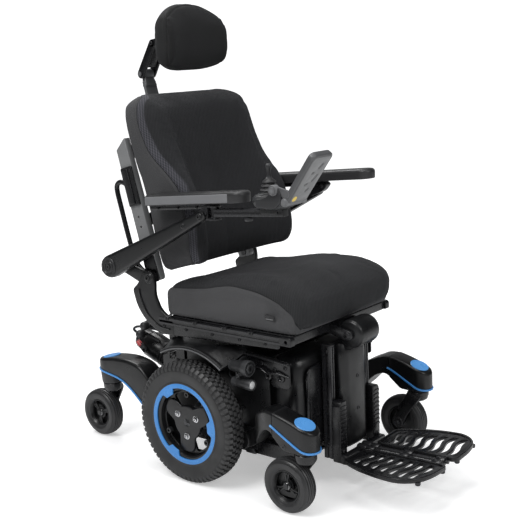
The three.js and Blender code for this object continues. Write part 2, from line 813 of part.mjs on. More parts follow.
addPiece("chassis_frame", chassisFrame(), "frameBlack");
addPiece("front_shroud", frontShroud(), "shroudBlack");
addPiece("body_shroud", bodyShroud(), "shroudBlack");
addPair("battery", battery(), "darkPlastic");
addPair("gearmotor", gearmotor(), "casting");
addPiece("control_module", controlModule(), "darkPlastic");
addPair("headlamp", headlamp(), "darkPlastic");
addPair("release_lever", releaseLever(), "redLever");
addPair("drive_tyre", driveTyre(), "tyreRubber");
addPair("drive_rim", driveRim(), "wheelBlack");
addPair("drive_ring", driveRing(), "blueTrim");
addPair("front_arm", frontArm(), "shroudBlack");
addPair("rear_arm", rearArm(), "shroudBlack");
addPair("front_fork", casterFork(frontSwivel), "frameBlack");
addPair("front_hub", casterHub(frontSwivel), "wheelBlack");
addPair("front_tyre", casterTyre(frontSwivel), "tyreRubber");
addPair("rear_fork", casterFork(rearSwivel), "frameBlack");
addPair("rear_hub", casterHub(rearSwivel), "wheelBlack");
addPair("rear_tyre", casterTyre(rearSwivel), "tyreRubber");
addPiece("seat_frame", seatFrame(), "frameBlack");
addPiece("seat_cushion", seatCushion(), "seatFabric");
addPiece("tilt_tube", tiltTube(), "frameBlack");
addPiece("tilt_rod", tiltRod(), "bareSteel");
addPiece("back_frame", backFrame(), "greyArm");
addPiece("back_shell", backShell(), "frameBlack");
addPiece("back_cushion", backCushion(), "seatFabric");
addPiece("headrest_post", headrestPost(), "frameBlack");
addPiece("headrest_link", headrestLink(), "frameBlack");
addPiece("headrest_pad", headrestPad(), "seatFabric");
addPair("arm_tube", armTube(), "frameBlack");
addPiece("arm_pad_right", mirrored(armPad(-223)), "greyArm");
addPiece("arm_pad_left", armPad(-288), "greyArm");
addPiece("joystick_mount", joystickMount(), "frameBlack");
addPiece("joystick_pod", joystickPod(), "darkPlastic");
addPiece("joystick_display", joystickDisplay(), "darkPlastic");
addPiece("joystick_gimbal", barZ(stick.x, stick.y, 12, stick.z - 2, stick.z + 2, 20), "bareSteel");
addPiece("joystick_stick", joystickStick(), "padVinyl");
addPiece("power_button", button(-240), "padVinyl");
addPiece("horn_button", button(-276), "padVinyl");
addPiece("legrest_column", legrestColumn(), "shroudBlack");
addPiece("legrest_slider", legrestSlider(), "frameBlack");
addPair("footplate", footplate(), "frameBlack");

const footprint = new THREE.Box3().setFromObject(group);
group.position.y = -(footprint.min.y + footprint.max.y) / 2;

export default group;
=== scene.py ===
import math

import bmesh
import bpy
import numpy as np
from mathutils import Matrix, Vector


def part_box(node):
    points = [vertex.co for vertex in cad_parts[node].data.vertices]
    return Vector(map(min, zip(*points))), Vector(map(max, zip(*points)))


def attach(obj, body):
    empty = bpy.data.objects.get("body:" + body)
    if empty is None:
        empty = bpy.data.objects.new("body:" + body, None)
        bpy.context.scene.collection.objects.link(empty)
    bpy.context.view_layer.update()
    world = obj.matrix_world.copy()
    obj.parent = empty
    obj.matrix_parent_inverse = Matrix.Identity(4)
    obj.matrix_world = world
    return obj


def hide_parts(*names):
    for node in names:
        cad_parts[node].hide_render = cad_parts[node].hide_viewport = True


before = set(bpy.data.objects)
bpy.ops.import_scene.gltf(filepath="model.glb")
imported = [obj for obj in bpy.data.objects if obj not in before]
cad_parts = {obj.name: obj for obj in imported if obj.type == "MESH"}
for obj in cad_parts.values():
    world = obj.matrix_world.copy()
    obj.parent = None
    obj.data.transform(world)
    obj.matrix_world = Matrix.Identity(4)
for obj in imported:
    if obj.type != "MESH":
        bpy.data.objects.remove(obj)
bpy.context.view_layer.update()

# Every length below is in millimetres, measured from the floor under the drive wheels' axle, with +Z up
# and the front facing -Y. The mesh tools make metres of it, and add_object() moves it to that axle.
MM = 0.001
SIDES = (("right", -1), ("left", 1))
AXLE = Vector((0, sum(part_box("drive_tyre_left"), Vector()).y / 2, 0))


def corners(node):
    """The low and high corners of a CAD node's box, in the millimetres of this script."""
    return [(corner - AXLE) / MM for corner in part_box(node)]


def middle(node):
    """The centre of a CAD node's box."""
    low, high = corners(node)
    return (low + high) / 2


def size(node):
    """A CAD node's size along x, y and z, in millimetres."""
    low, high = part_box(node)
    return (high - low) / MM


# ---------------------------------------------------------------- materials
class Paint:
    """A node material built step by step around one principled shader."""

    def __init__(self, name, colour, roughness, metallic=0.0):
        self.material = bpy.data.materials.new(name)
        self.material.use_nodes = True
        self.nodes = self.material.node_tree.nodes
        self.links = self.material.node_tree.links
        self.shader = self.nodes["Principled BSDF"]
        self.shader.inputs["Base Color"].default_value = (*colour, 1)
        self.shader.inputs["Roughness"].default_value = roughness
        self.shader.inputs["Metallic"].default_value = metallic
        self.colour = tuple(colour)
        self.roughness = roughness
        self.place = self.nodes.new("ShaderNodeTexCoord").outputs["Object"]

    def node(self, kind, links=(), **values):
        made = self.nodes.new(kind)
        for key, value in values.items():
            if key in made.inputs:
                made.inputs[key].default_value = value
            else:
                setattr(made, key, value)
        for key, output in links:
            self.links.new(output, made.inputs[key])
        return made

    def noise(self, scale, detail=3.0):
        made = self.node("ShaderNodeTexNoise", [("Vector", self.place)], Scale=scale, Detail=detail)
        return made.outputs["Fac"]

    def ramp(self, value, **ends):
        """A straight ramp; from_min, from_max, to_min and to_max are its ends."""
        made = self.node("ShaderNodeMapRange", [("Value", value)])
        for end, number in ends.items():
            made.inputs[end.replace("_", " ").title()].default_value = number
        return made.outputs[0]

    def spread(self, value, low, high):
        """The useful middle of a noise, stretched between low and high."""
        return self.ramp(value, from_min=0.3, from_max=0.7, to_min=low, to_max=high)

    def mottle(self, scale, amount):
        """Lighter and darker patches of the base colour."""
        mix = self.node("ShaderNodeMix", [("Factor", self.noise(scale))], data_type="RGBA")
        dark = [c * (1 - amount) for c in self.colour]
        light = [min(1, c * (1 + amount)) for c in self.colour]
        mix.inputs[6].default_value = (*dark, 1)
        mix.inputs[7].default_value = (*light, 1)
        self.links.new(mix.outputs[2], self.shader.inputs["Base Color"])
        return self

    def vary_gloss(self, scale, amount):
        value = self.spread(self.noise(scale), self.roughness - amount, self.roughness + amount)
        self.links.new(value, self.shader.inputs["Roughness"])
        return self

    def bump(self, height, depth_mm, strength=1.0):
        """Adds a layer of relief over whatever relief is there already."""
        made = self.node("ShaderNodeBump", [("Height", height)], Strength=strength, Distance=depth_mm * MM)
        socket = self.shader.inputs["Normal"]
        if socket.is_linked:
            self.links.new(socket.links[0].from_socket, made.inputs["Normal"])
        self.links.new(made.outputs[0], socket)
        return self

    def wear_and_highlight_edges(self, colour):
        """Edges turn a lighter tone: rubbed wear, and on rubber also a painted highlight along the block
        edges.
        """
        pointy = self.node("ShaderNodeNewGeometry").outputs["Pointiness"]
        share = self.ramp(pointy, from_min=0.524, from_max=0.58)
        base = self.shader.inputs["Base Color"]
        mix = self.node("ShaderNodeMix", [("Factor", share), (6, base.links[0].from_socket)],
            data_type="RGBA")
        mix.inputs[7].default_value = (*colour, 1)
        self.links.new(mix.outputs[2], base)
        return self

    def grid(self, pitch_mm):
        """A woven grid: raised threads around small pits, pitch_mm apart."""
        scale = 2 * math.pi / (pitch_mm * MM)
        parts = self.node("ShaderNodeSeparateXYZ", [("Vector", self.place)])
        waves = []
        for axis, shift in (("X", "Z"), ("Z", "Y")):
            summed = self.node("ShaderNodeMath", [(0, parts.outputs[axis]), (1, parts.outputs[shift])])
            scaled = self.node("ShaderNodeMath", [(0, summed.outputs[0])], operation="MULTIPLY")
            scaled.inputs[1].default_value = scale * 0.7071
            wave = self.node("ShaderNodeMath", [(0, scaled.outputs[0])], operation="SINE")
            waves.append(wave.outputs[0])
        product = self.node("ShaderNodeMath", [(0, waves[0]), (1, waves[1])], operation="MULTIPLY")
        return self.ramp(product.outputs[0], from_min=-0.5, from_max=0.5)

    def sheen(self, weight, tint):
        self.shader.inputs["Sheen Weight"].default_value = weight
        self.shader.inputs["Sheen Roughness"].default_value = 0.4
        self.shader.inputs["Sheen Tint"].default_value = (*tint, 1)
        return self


def plastic(name, colour, roughness, grain=0.05, wear=None):
    """Moulded plastic with a fine grain and lighter worn edges."""
    paint = Paint(name, colour, roughness).mottle(14, 0.12).vary_gloss(30, 0.07)
    paint.bump(paint.noise(1800, 2), grain).bump(paint.noise(90, 2), 0.06, 0.5)
    paint.wear_and_highlight_edges(wear or [min(1, c * 2 + 0.006) for c in colour])
    return paint.material


def metal(name, colour, roughness):
    """Metal with uneven gloss and a faint grain."""
    paint = Paint(name, colour, roughness, 1.0).mottle(20, 0.1).vary_gloss(60, 0.08)
    paint.bump(paint.noise(700, 3), 0.04)
    return paint.material


def rubber(name, colour, roughness):
    """Rubber with a mottled colour, a fine grain and paler edges, partly rubbed wear and partly a painted
    highlight.
    """
    paint = Paint(name, colour, roughness).mottle(9, 0.16).vary_gloss(24, 0.1)
    paint.bump(paint.noise(1200, 3), 0.08).bump(paint.noise(120, 2), 0.12, 0.5)
    # Paler edges: partly wear, partly a painted highlight on the tread blocks' edges.
    paint.wear_and_highlight_edges([c * 2.4 for c in colour])
    return paint.material


BLACK = plastic("black_moulding", (0.0050, 0.0052, 0.0058), 0.33)
SATIN = plastic("satin_black_paint", (0.006, 0.006, 0.007), 0.28, grain=0.02)
DARK = plastic("dark_plastic", (0.018, 0.0185, 0.020), 0.42)
# Painted highlight: a grey strip standing for the lit outer side of the dark arm pads, not a grey part.
PAD_SIDE_HIGHLIGHT = plastic("painted_highlight_pad_side", (0.150, 0.152, 0.158), 0.55, grain=0.09, wear=(0.22, 0.22, 0.23))
PAD_TOP = plastic("dark_pad_skin", (0.024, 0.024, 0.025), 0.4, grain=0.09)
GRAPHITE = plastic("graphite_paint", (0.075, 0.076, 0.079), 0.36, grain=0.03)
GREY = plastic("grey_paint", (0.175, 0.177, 0.180), 0.36, grain=0.03, wear=(0.3, 0.3, 0.3))
CLEAR_GREY = plastic("light_grey_plastic", (0.33, 0.335, 0.34), 0.45, grain=0.04, wear=(0.45, 0.45, 0.45))
BLUE = plastic("blue_trim", (0.045, 0.235, 0.610), 0.3, grain=0.02, wear=(0.12, 0.36, 0.75))
RED = plastic("red_lever", (0.50, 0.035, 0.045), 0.45, wear=(0.6, 0.15, 0.15))
YELLOW = plastic("yellow_dot", (0.80, 0.56, 0.06), 0.5, wear=(0.85, 0.65, 0.2))
STEEL = metal("bright_steel", (0.62, 0.62, 0.63), 0.26)
CASTING = metal("cast_grey", (0.13, 0.133, 0.138), 0.44)
TYRE = rubber("drive_tyre_rubber", (0.019, 0.019, 0.0195), 0.5)
CASTER = rubber("caster_rubber", (0.024, 0.024, 0.025), 0.42)
BELLOWS = rubber("bellows_rubber", (0.022, 0.022, 0.023), 0.45)
LENS = Paint("lamp_lens", (0.92, 0.93, 0.94), 0.08, 0.2).mottle(40, 0.1)
LENS = LENS.bump(LENS.grid(4.0), 0.4).material
SCREEN = Paint("dark_screen", (0.008, 0.009, 0.011), 0.08).mottle(10, 0.2).material


# ---------------------------------------------------------------- mesh tools
def add_object(name, mesh, material, body, replaces=()):
    """Makes a visible piece of a mesh: its paint, the body it rides on and the CAD nodes it stands for."""
    mesh.transform(Matrix.Translation(AXLE))
    made = bpy.data.objects.new(name, mesh)
    bpy.context.scene.collection.objects.link(made)
    made.data.materials.clear()
    made.data.materials.append(material)
    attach(made, body)
    if replaces:
        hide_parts(*replaces)


def smooth(mesh, angle=35):
    """Shade smooth, except across edges sharper than the angle."""
    mesh.shade_smooth()
    mesh.set_sharp_from_angle(angle=math.radians(angle))
    return mesh


def from_lists(points, faces, angle=35):
    """A mesh from points in millimetres and faces, with its normals outwards."""
    mesh = bpy.data.meshes.new("mesh")
    mesh.from_pydata([Vector(p) * MM for p in points], [], faces)
    bm = bmesh.new()
    bm.from_mesh(mesh)
    bmesh.ops.remove_doubles(bm, verts=bm.verts, dist=1e-6)
    bmesh.ops.recalc_face_normals(bm, faces=bm.faces)
    bm.to_mesh(mesh)
    bm.free()
    return smooth(mesh, angle)


def joined(meshes, angle=35):
    """One mesh made of several."""
    bm = bmesh.new()
    for mesh in meshes:
        bm.from_mesh(mesh)
    mesh = bpy.data.meshes.new("mesh")
    bm.to_mesh(mesh)
    bm.free()
    return smooth(mesh, angle)


def moved(mesh, matrix):
    """A copy of a mesh under a matrix. Its normals still face outwards after a mirror."""
    copy = mesh.copy()
    copy.transform(matrix)
    if matrix.determinant() < 0:
        copy.flip_normals()
    return copy


def shift(x, y, z):
    """A move in millimetres."""
    return Matrix.Translation(Vector((x, y, z)) * MM)


def turn(angle, axis):
    """A turn about an axis through the origin."""
    return Matrix.Rotation(angle, 4, axis)


def mirror_x():
    """The mirror image from side to side."""
    return Matrix.Diagonal((-1, 1, 1, 1))


def side_matrix(sign):
    """Shapes are drawn on the left, which is +x. The right side is the mirror image."""
    return Matrix.Identity(4) if sign > 0 else mirror_x()


def rings(loops, closed=True, caps=True, angle=40):
    """Skins a list of point rings, each with the same number of points."""
    count = len(loops[0])
    points = [p for loop in loops for p in loop]
    faces = []
    for i in range(len(loops) - 1):
        for j in range(count if closed else count - 1):
            k = (j + 1) % count
            a, b = i * count, (i + 1) * count
            faces.append((a + j, a + k, b + k, b + j))
    if caps:
        faces.append(tuple(range(count)))
        faces.append(tuple(range((len(loops) - 1) * count, len(loops) * count)))
    return from_lists(points, faces, angle)


def turned(profile, axis="X", centre=(0, 0, 0), sides=48, angle=30):
    """Spins a profile of (radius, distance along the axis) pairs about an axis."""
    loops = []
    for i in range(sides):
        a = 2 * math.pi * i / sides
        c, s = math.cos(a), math.sin(a)
        spot = {
            "X": lambda r, t: (t, r * c, r * s),
            "Y": lambda r, t: (r * c, t, r * s),
            "Z": lambda r, t: (r * c, r * s, t),
        }[axis]
        loops.append([Vector(spot(r, t)) + Vector(centre) for r, t in profile])
    loops.append(loops[0])
    return rings(loops, closed=False, caps=False, angle=angle)


def bar_profile(radius, start, end):
    """The profile of a plain round bar, for turned()."""
    return [(0, start), (radius, start), (radius, end), (0, end)]


def smooth_path(points, steps=8):
    """Points along a Catmull-Rom curve through the given ones."""
    spots = [Vector(p) for p in points]
    spots = [2 * spots[0] - spots[1]] + spots + [2 * spots[-1] - spots[-2]]
    path = []
    for i in range(1, len(spots) - 2):
        a, b, c, d = spots[i - 1 : i + 3]
        for k in range(steps):
            t = k / steps
            lower_terms = 2 * b + (c - a) * t + (2 * a - 5 * b + 4 * c - d) * t**2
            path.append(0.5 * (lower_terms + (3 * b - a - 3 * c + d) * t**3))
    path.append(spots[-2])
    return path


def swept(path, section):
    """Carries a flat section, (across, up) pairs, along a path without twisting it."""
    spots = [Vector(p) for p in path]
    loops = []
    side = None
    for i, spot in enumerate(spots):
        ahead = (spots[min(i + 1, len(spots) - 1)] - spots[max(i - 1, 0)]).normalized()
        if side is None:
            guide = Vector((0, 0, 1)) if abs(ahead.z) < 0.9 else Vector((0, 1, 0))
            side = ahead.cross(guide).normalized()
        side = (side - ahead * side.dot(ahead)).normalized()
        up = side.cross(ahead)
        loops.append([spot + side * a + up * b for a, b in section(i / (len(spots) - 1))])
    return rings(loops)


def round_section(radius, sides=14):
    """A round cross-section for swept()."""
    angles = [2 * math.pi * i / sides for i in range(sides)]
    return lambda share: [(radius * math.cos(a), radius * math.sin(a)) for a in angles]


def box_section(width, height, corner=2.0, steps=3):
    """A rounded rectangular cross-section for swept()."""
    points = rectangle(-width / 2, -height / 2, width / 2, height / 2, corner, steps)
    return lambda share: points


def tube(points, radius, steps=8, sides=14):
    """A round bar or cable along a smooth path."""
    return swept(smooth_path(points, steps), round_section(radius, sides))


def rounded(corners, radius, steps=5):
    """A closed outline with each corner rounded; a corner's third number is its own radius."""
    outline = []
    count = len(corners)
    for i, corner in enumerate(corners):
        here = Vector(corner[:2])
        before = Vector(corners[i - 1][:2]) - here
        after = Vector(corners[(i + 1) % count][:2]) - here
        reach = corner[2] if len(corner) > 2 else radius
        reach = min(reach, 0.48 * before.length, 0.48 * after.length)
        if reach < 0.05:
            outline.append(tuple(here))
            continue
        a = here + before.normalized() * reach
        b = here + after.normalized() * reach
        for k in range(steps + 1):
            t = k / steps
            outline.append(tuple(a * (1 - t) ** 2 + here * 2 * t * (1 - t) + b * t**2))
    return outline


def plate(outline, depth, holes=(), bevel=1.0, segments=2):
    """A flat plate in the XY plane, from z=-depth/2 to z=depth/2, with holes and softened edges."""
    curve = bpy.data.curves.new("outline", "CURVE")
    curve.dimensions = "2D"
    curve.fill_mode = "BOTH"
    curve.extrude = max(depth / 2 - bevel, 0.01) * MM
    curve.bevel_depth = bevel * MM
    curve.bevel_resolution = segments
    curve.offset = -bevel * MM
    for loop in (outline, *holes):
        spline = curve.splines.new("POLY")
        spline.points.add(len(loop) - 1)
        for point, (x, y) in zip(spline.points, loop):
            point.co = (x * MM, y * MM, 0, 1)
        spline.use_cyclic_u = True
    holder = bpy.data.objects.new("outline", curve)
    bpy.context.scene.collection.objects.link(holder)
    mesh = bpy.data.meshes.new_from_object(holder.evaluated_get(bpy.context.evaluated_depsgraph_get()))
    bpy.data.objects.remove(holder)
    bm = bmesh.new()
    bm.from_mesh(mesh)
    bmesh.ops.remove_doubles(bm, verts=bm.verts, dist=2e-6)
    bmesh.ops.recalc_face_normals(bm, faces=bm.faces)
    bm.to_mesh(mesh)
    bm.free()
    return smooth(mesh, 40)


# A plate drawn in the XY plane stood up: its x goes along Y, its y along Z, its thickness along X.
FACING_X = Matrix(((0, 0, 1, 0), (1, 0, 0, 0), (0, 1, 0, 0), (0, 0, 0, 1)))
# Drawn in XY, stood up facing -Y: x stays, y goes up, thickness goes along -Y.
FACING_Y = Matrix(((1, 0, 0, 0), (0, 0, -1, 0), (0, 1, 0, 0), (0, 0, 0, 1)))


def circle(radius, centre=(0, 0), sides=24):
    """A closed ring of points."""
    step = 2 * math.pi / sides
    return [
        (centre[0] + radius * math.cos(i * step), centre[1] + radius * math.sin(i * step))
        for i in range(sides)
    ]


def rectangle(low_a, low_b, high_a, high_b, radius, steps=5):
    """A rectangle's outline with rounded corners."""
    return rounded([(low_a, low_b), (high_a, low_b), (high_a, high_b), (low_a, high_b)], radius, steps)


def side_plate(x, *shape):
    """A plate seen from the side, drawn in (y, z) and centred at x."""
    return moved(plate(*shape), shift(x, 0, 0) @ FACING_X)


def front_plate(y, *shape):
    """A plate seen from the front, drawn in (x, z) and centred at y."""
    return moved(plate(*shape), shift(0, y, 0) @ FACING_Y)


def sector(inner, outer, start, end, corner=4.0):
    """A window shaped like a piece of a ring, with rounded corners."""
    steps = 8
    arc = [start + (end - start) * k / steps for k in range(steps + 1)]
    points = [(outer * math.cos(a), outer * math.sin(a)) for a in arc]
    points += [(inner * math.cos(a), inner * math.sin(a)) for a in reversed(arc)]
    return rounded(points, corner, 3)


def bolt(radius, height, place):
    """A button-head bolt along its own +X, with a socket."""
    r = radius
    profile = [(0, -1), (r, -1), (r, height * 0.35), (r * 0.86, height * 0.8), (r * 0.62, height),
        (r * 0.42, height), (r * 0.42, height * 0.3), (0, height * 0.3)]
    return moved(turned(profile, "X", sides=12), place)


def soften(obj, width_mm):
    """A small bevel on a plain CAD shape's edges."""
    bevel = obj.modifiers.new("soft_edges", "BEVEL")
    bevel.width = width_mm * MM
    bevel.segments = 2
    bevel.limit_method = "ANGLE"
    bevel.angle_limit = math.radians(32)
    bevel.harden_normals = False


def dress(node, material, edge=1.2):
    """Gives a CAD node its material and rounds its hard edges."""
    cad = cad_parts[node]
    cad.data.materials.clear()
    cad.data.materials.append(material)
    weld = cad.modifiers.new("weld", "WELD")
    weld.merge_threshold = 1e-5
    flat = cad.modifiers.new("flat", "DECIMATE")
    flat.decimate_type = "DISSOLVE"
    flat.angle_limit = math.radians(3)
    soften(cad, edge)
    auto = cad.modifiers.new("shade", "WEIGHTED_NORMAL")
    auto.keep_sharp = True
    cad.data.shade_smooth()


def curve(points):
    """A smooth function through (position, value) pairs sorted by position."""
    path = smooth_path([(a, b, 0) for a, b in points], 6)
    spots = [p.x for p in path]
    values = [p.y for p in path]
    return lambda at: float(np.interp(at, spots, values))


def aim(start, end):
    """Puts a shape drawn along +X from the origin onto the line from start to end."""
    along = Vector(end) - Vector(start)
    return shift(*start) @ along.to_track_quat("X", "Z").to_matrix().to_4x4()


def pair(name, mesh, material, body, replaces=None):
    """Adds a mesh drawn on the left side and its mirror image on the right."""
    for side, sign in SIDES:
        node = (f"{replaces}_{side}",) if replaces else ()
        rides = body.replace("*", side)
        add_object(f"{name}_{side}", moved(mesh, side_matrix(sign)), material, rides, node)


# ---------------------------------------------------------------- drive wheels
DRIVE = middle("drive_tyre_left")
DRIVE_RADIUS = size("drive_tyre_left").z / 2
BORE = size("drive_rim_left").z / 2 + 0.3
WINDOW_TURN = math.radians(33)  # where the first spoke points, from the rear
LOBE_TURN = math.radians(57)
KNOBS = 62


def tread_block(across, length, x, angle, skew, top):
    """One raised rubber block: x is its place across the tread, skew leans it like a chevron."""
    half_x, half_y = across / 2, length / 2
    corners = [(-half_x, -half_y), (half_x, -half_y), (half_x, half_y), (-half_x, half_y)]
    shape = rounded([(a, b + a * skew) for a, b in corners], 2.2, 2)
    loops = []
    for drop, grow in ((9.0, 1.08), (1.0, 1.0), (0.0, 0.86)):
        loop = []
        for a, b in shape:
            radius = top(x + a * grow) - drop
            turn_by = angle + b * grow / DRIVE_RADIUS
            loop.append((x + a * grow, radius * math.cos(turn_by), radius * math.sin(turn_by)))
        loops.append(loop)
    return loops


def drive_tyre():
    """A low carcass with two shoulder rows and three staggered inner rows of rubber blocks."""
    crown = DRIVE_RADIUS
    top = curve([(-36, crown - 15), (-32, crown - 8), (-24, crown - 2.4), (-12, crown), (12, crown),
        (24, crown - 2.4), (32, crown - 8), (36, crown - 15)])
    wall = [(BORE, 27.5), (BORE + 3, 30.5), (BORE + 8, 31), (BORE + 10, 32.6), (BORE + 14, 33),
        (BORE + 17, 31.9), (BORE + 32, 34.9), (BORE + 42, 36), (BORE + 47, 35.6), (BORE + 49, 34.2),
        (BORE + 56, 32.6), (BORE + 61, 29), (BORE + 64, 20), (BORE + 65, 8)]
    profile = wall + [(r, -x) for r, x in reversed(wall)]
    profile.append(profile[0])
    meshes = [turned(profile, "X", sides=96, angle=28)]
    points = []
    faces = []
    rows = (
        (0, 12, 11.5, 0.0, 0.12),
        (13.5, 10.5, 11.5, 0.5, -0.2),
        (-13.5, 10.5, 11.5, 0.5, 0.2),
        (28, 12.5, 11.5, 0.0, 0.12),
        (-28, 12.5, 11.5, 0.0, -0.12),
    )
    for x, across, length, phase, skew in rows:
        for i in range(KNOBS):
            angle = (i + phase) * 2 * math.pi / KNOBS
            lean = skew if x or i % 2 else -skew
            loops = tread_block(across, length, x, angle, lean, top)
            start, count = len(points), len(loops[0])
            points += [p for loop in loops for p in loop]
            for level in range(len(loops) - 1):
                for j in range(count):
                    k = (j + 1) % count
                    a, b = start + level * count, start + (level + 1) * count
                    faces.append((a + j, a + k, b + k, b + j))
            faces.append(tuple(range(start + 2 * count, start + 3 * count)))
    meshes.append(from_lists(points, faces, 30))
    return moved(joined(meshes, 30), shift(*DRIVE))


def drive_rim():
    """A barrel with rolled lips and, set back in it, a three-spoke plate with three small bosses."""
    r = BORE - 0.3
    barrel = [(r - 13, -27), (r - 13, -4), (r - 16, 4), (r - 13, 12), (r - 11, 24), (r - 7, 27.5),
        (r - 2, 28), (r, 26), (r, -25), (r - 4, -27), (r - 13, -27)]
    windows = []
    for k in range(3):
        middle_of_window = WINDOW_TURN + math.pi / 3 + k * 2 * math.pi / 3
        windows.append(sector(50, 88, middle_of_window - 0.66, middle_of_window + 0.66, 14))
    disc = side_plate(8, circle(r - 14, sides=72), 9, windows, 1.6)
    parts = [turned(barrel, "X", sides=96), disc]
    star = []
    for k in range(150):
        angle = 2 * math.pi * k / 150
        away = abs((angle - WINDOW_TURN + math.pi / 3) % (2 * math.pi / 3) - math.pi / 3)
        reach = 50 + 38 * math.exp(-((away / 0.46) ** 4))
        star.append((reach * math.cos(angle), reach * math.sin(angle)))
    parts.append(side_plate(14.5, star, 9, (), 3.4, 4))
    parts.append(turned([(30, 6), (32, -12), (28, -20), (0, -20)], "X", sides=40))
    for k in range(3):
        spoke = WINDOW_TURN + k * 2 * math.pi / 3
        boss = turned([(4, 20), (8, 20), (9, 18), (9, 8), (4, 8), (4, 20)], "X", (0, 84, 0), 20)
        parts.append(moved(boss, turn(spoke + math.pi / 3, "X")))
    return moved(joined(parts), shift(*DRIVE))


def drive_bolts():
    """The three bolts of the drive wheel's plate."""
    parts = []
    for k in range(3):
        spoke = WINDOW_TURN + k * 2 * math.pi / 3
        washer = turned([(3, 0), (10, 0), (10, 1.6), (9, 2.2), (3, 2.2)], "X", sides=24)
        head = bolt(7.4, 5.5, shift(2, 0, 0))
        for mesh in (washer, head):
            parts.append(moved(mesh, turn(spoke, "X") @ shift(18.5, 40, 0)))
    return moved(joined(parts), shift(*DRIVE))


def drive_ring():
    """The flat trim ring, with three lobes pointing inwards."""
    outer = size("drive_ring_left").z / 2
    inner = outer - 14
    lobe_depth, lobe_half, ramp = 16, 0.14, 0.10
    inside = []
    steps = 180
    for i in range(steps):
        angle = i * 2 * math.pi / steps
        away = abs((angle - LOBE_TURN + math.pi / 3) % (2 * math.pi / 3) - math.pi / 3)
        share = min(1, max(0, (lobe_half + ramp - away) / ramp))
        radius = inner - lobe_depth * share * share * (3 - 2 * share)
        inside.append((radius * math.cos(angle), radius * math.sin(angle)))
    ring = plate(circle(outer, sides=120), 4.4, [inside], 0.9)
    face = middle("drive_ring_left").x
    return moved(ring, shift(face, 0, DRIVE.z) @ FACING_X)


pair("drive_tyre", drive_tyre(), TYRE, "drive_wheel_*", "drive_tyre")
pair("drive_rim", drive_rim(), BLACK, "drive_wheel_*", "drive_rim")
pair("drive_bolts", drive_bolts(), STEEL, "drive_wheel_*")
pair("drive_ring", drive_ring(), BLUE, "drive_wheel_*", "drive_ring")


# ---------------------------------------------------------------- casters
CASTER_RADIUS = size("front_tyre_left").z / 2
CASTER_HALF = size("front_tyre_left").x / 2
CASTER_BORE = size("front_hub_left").z / 2 + 0.3


def caster_tyre():
    """A firm tyre with a stepped side wall and three grooves around its tread."""
    half = CASTER_HALF
    r = CASTER_RADIUS
    side = [(CASTER_BORE, 19.5), (CASTER_BORE + 3, 22), (CASTER_BORE + 5, 22.6), (CASTER_BORE + 6,
        half - 0.8), (54, half), (62, half), (65, half - 0.6), (65.8, half - 2.2), (69, half - 3.6),
        (73.2, half - 7.5)]
    grooves = []
    for x in (14.5, 7.5):
        crown = r - 0.02 * x * x * 0.6
        grooves += [(crown, x + 1.9), (crown - 2.4, x + 1.0), (crown - 2.4, x - 1.0), (crown, x - 1.9)]
    half_profile = side + grooves + [(r, 2.6), (r - 2.4, 1.0)]
    profile = half_profile + [(a, -b) for a, b in reversed(half_profile)]
    profile.append(profile[0])
    return turned(profile, "X", sides=72, angle=28)


def caster_hub(start):
    """A rolled rim ring joined to the bearing housing by three ribbed spokes."""
    b = CASTER_BORE - 0.3
    barrel = [(b - 6, -19), (b - 6, 8), (b - 8, 13), (b - 6, 17), (b - 3, 20.5), (b - 0.5, 20), (b, 18),
        (b, -18), (b - 6, -19)]
    parts = [turned(barrel, "X", sides=56)]
    windows = []
    for k in range(3):
        gap = start + math.pi / 3 + k * 2 * math.pi / 3
        windows.append(sector(19, b - 7.5, gap - 0.80, gap + 0.80, 6))
    disc = side_plate(8, circle(b - 5.6, sides=56), 5, windows, 1.2)
    parts.append(disc)
    parts.append(turned([(b - 5, -1), (13, -4), (13, -7), (b - 5, -4), (b - 5, -1)], "X", sides=56))
    for k in range(3):
        spoke = start + k * 2 * math.pi / 3
        for lean in (-1, 1):
            path = [(11, 12, lean * 2.2), (10, 24, lean * 3.4), (9, b - 6, lean * 8)]
            parts.append(moved(swept(path, box_section(4.4, 4, 1.2, 2)), turn(spoke, "X")))
        cap = turned([(0, 13), (2.6, 13), (3, 11), (3, 8)], "X", (0, b - 12, 0), 12)
        parts.append(moved(cap, turn(spoke, "X")))
    parts.append(turned([(10, 17), (12, 16), (14.5, 12), (14.5, -19), (9, -19)], "X", sides=36))
    return joined(parts)


def caster_axle_cap():
    """The bright axle bolt in its recess."""
    parts = [turned([(0, 12), (10.2, 12), (10.2, 16.6), (9.2, 17.4), (8.6, 16.6), (8.6, 13), (0, 13)], "X",
        sides=28), bolt(6.2, 4.0, shift(13, 0, 0))]
    return joined(parts)


def caster_fork(swivel, axle, start_height):
    """One curved leg on the inner side of the wheel, under a turned crown."""
    inner = swivel.x - CASTER_HALF
    leg = [(inner - 9, axle.y, axle.z), (inner - 9, (axle.y + swivel.y) / 2 + 6, axle.z + 44),
        (inner - 8, swivel.y + 10, start_height - 26), (inner + 2, swivel.y + 2, start_height - 8)]
    parts = [swept(smooth_path(leg), lambda share: rectangle(-5, -17 - 6 * share, 5, 17 + 6 * share, 3.5,
        3))]
    crown = [(0, start_height - 1), (27, start_height - 1), (29.5, start_height - 4), (29,
        start_height - 15), (25, start_height - 27), (16, start_height - 33), (0, start_height - 34)]
    parts.append(turned(crown, "Z", (swivel.x, swivel.y, 0), 40))
    foot = [(0, -6), (17, -6), (18.5, -4), (18.5, 4), (17, 6), (0, 6)]
    parts.append(turned(foot, "X", (inner - 9, axle.y, axle.z), 36))
    nut = [(0, -13), (8, -13), (9, -11.5), (9, -6), (0, -6)]
    parts.append(turned(nut, "X", (inner - 9, axle.y, axle.z), 6, 20))
    shaft = bar_profile(8, inner - 10 - swivel.x, 20)
    parts.append(turned(shaft, "X", (swivel.x, axle.y, axle.z), 20))
    return joined(parts)


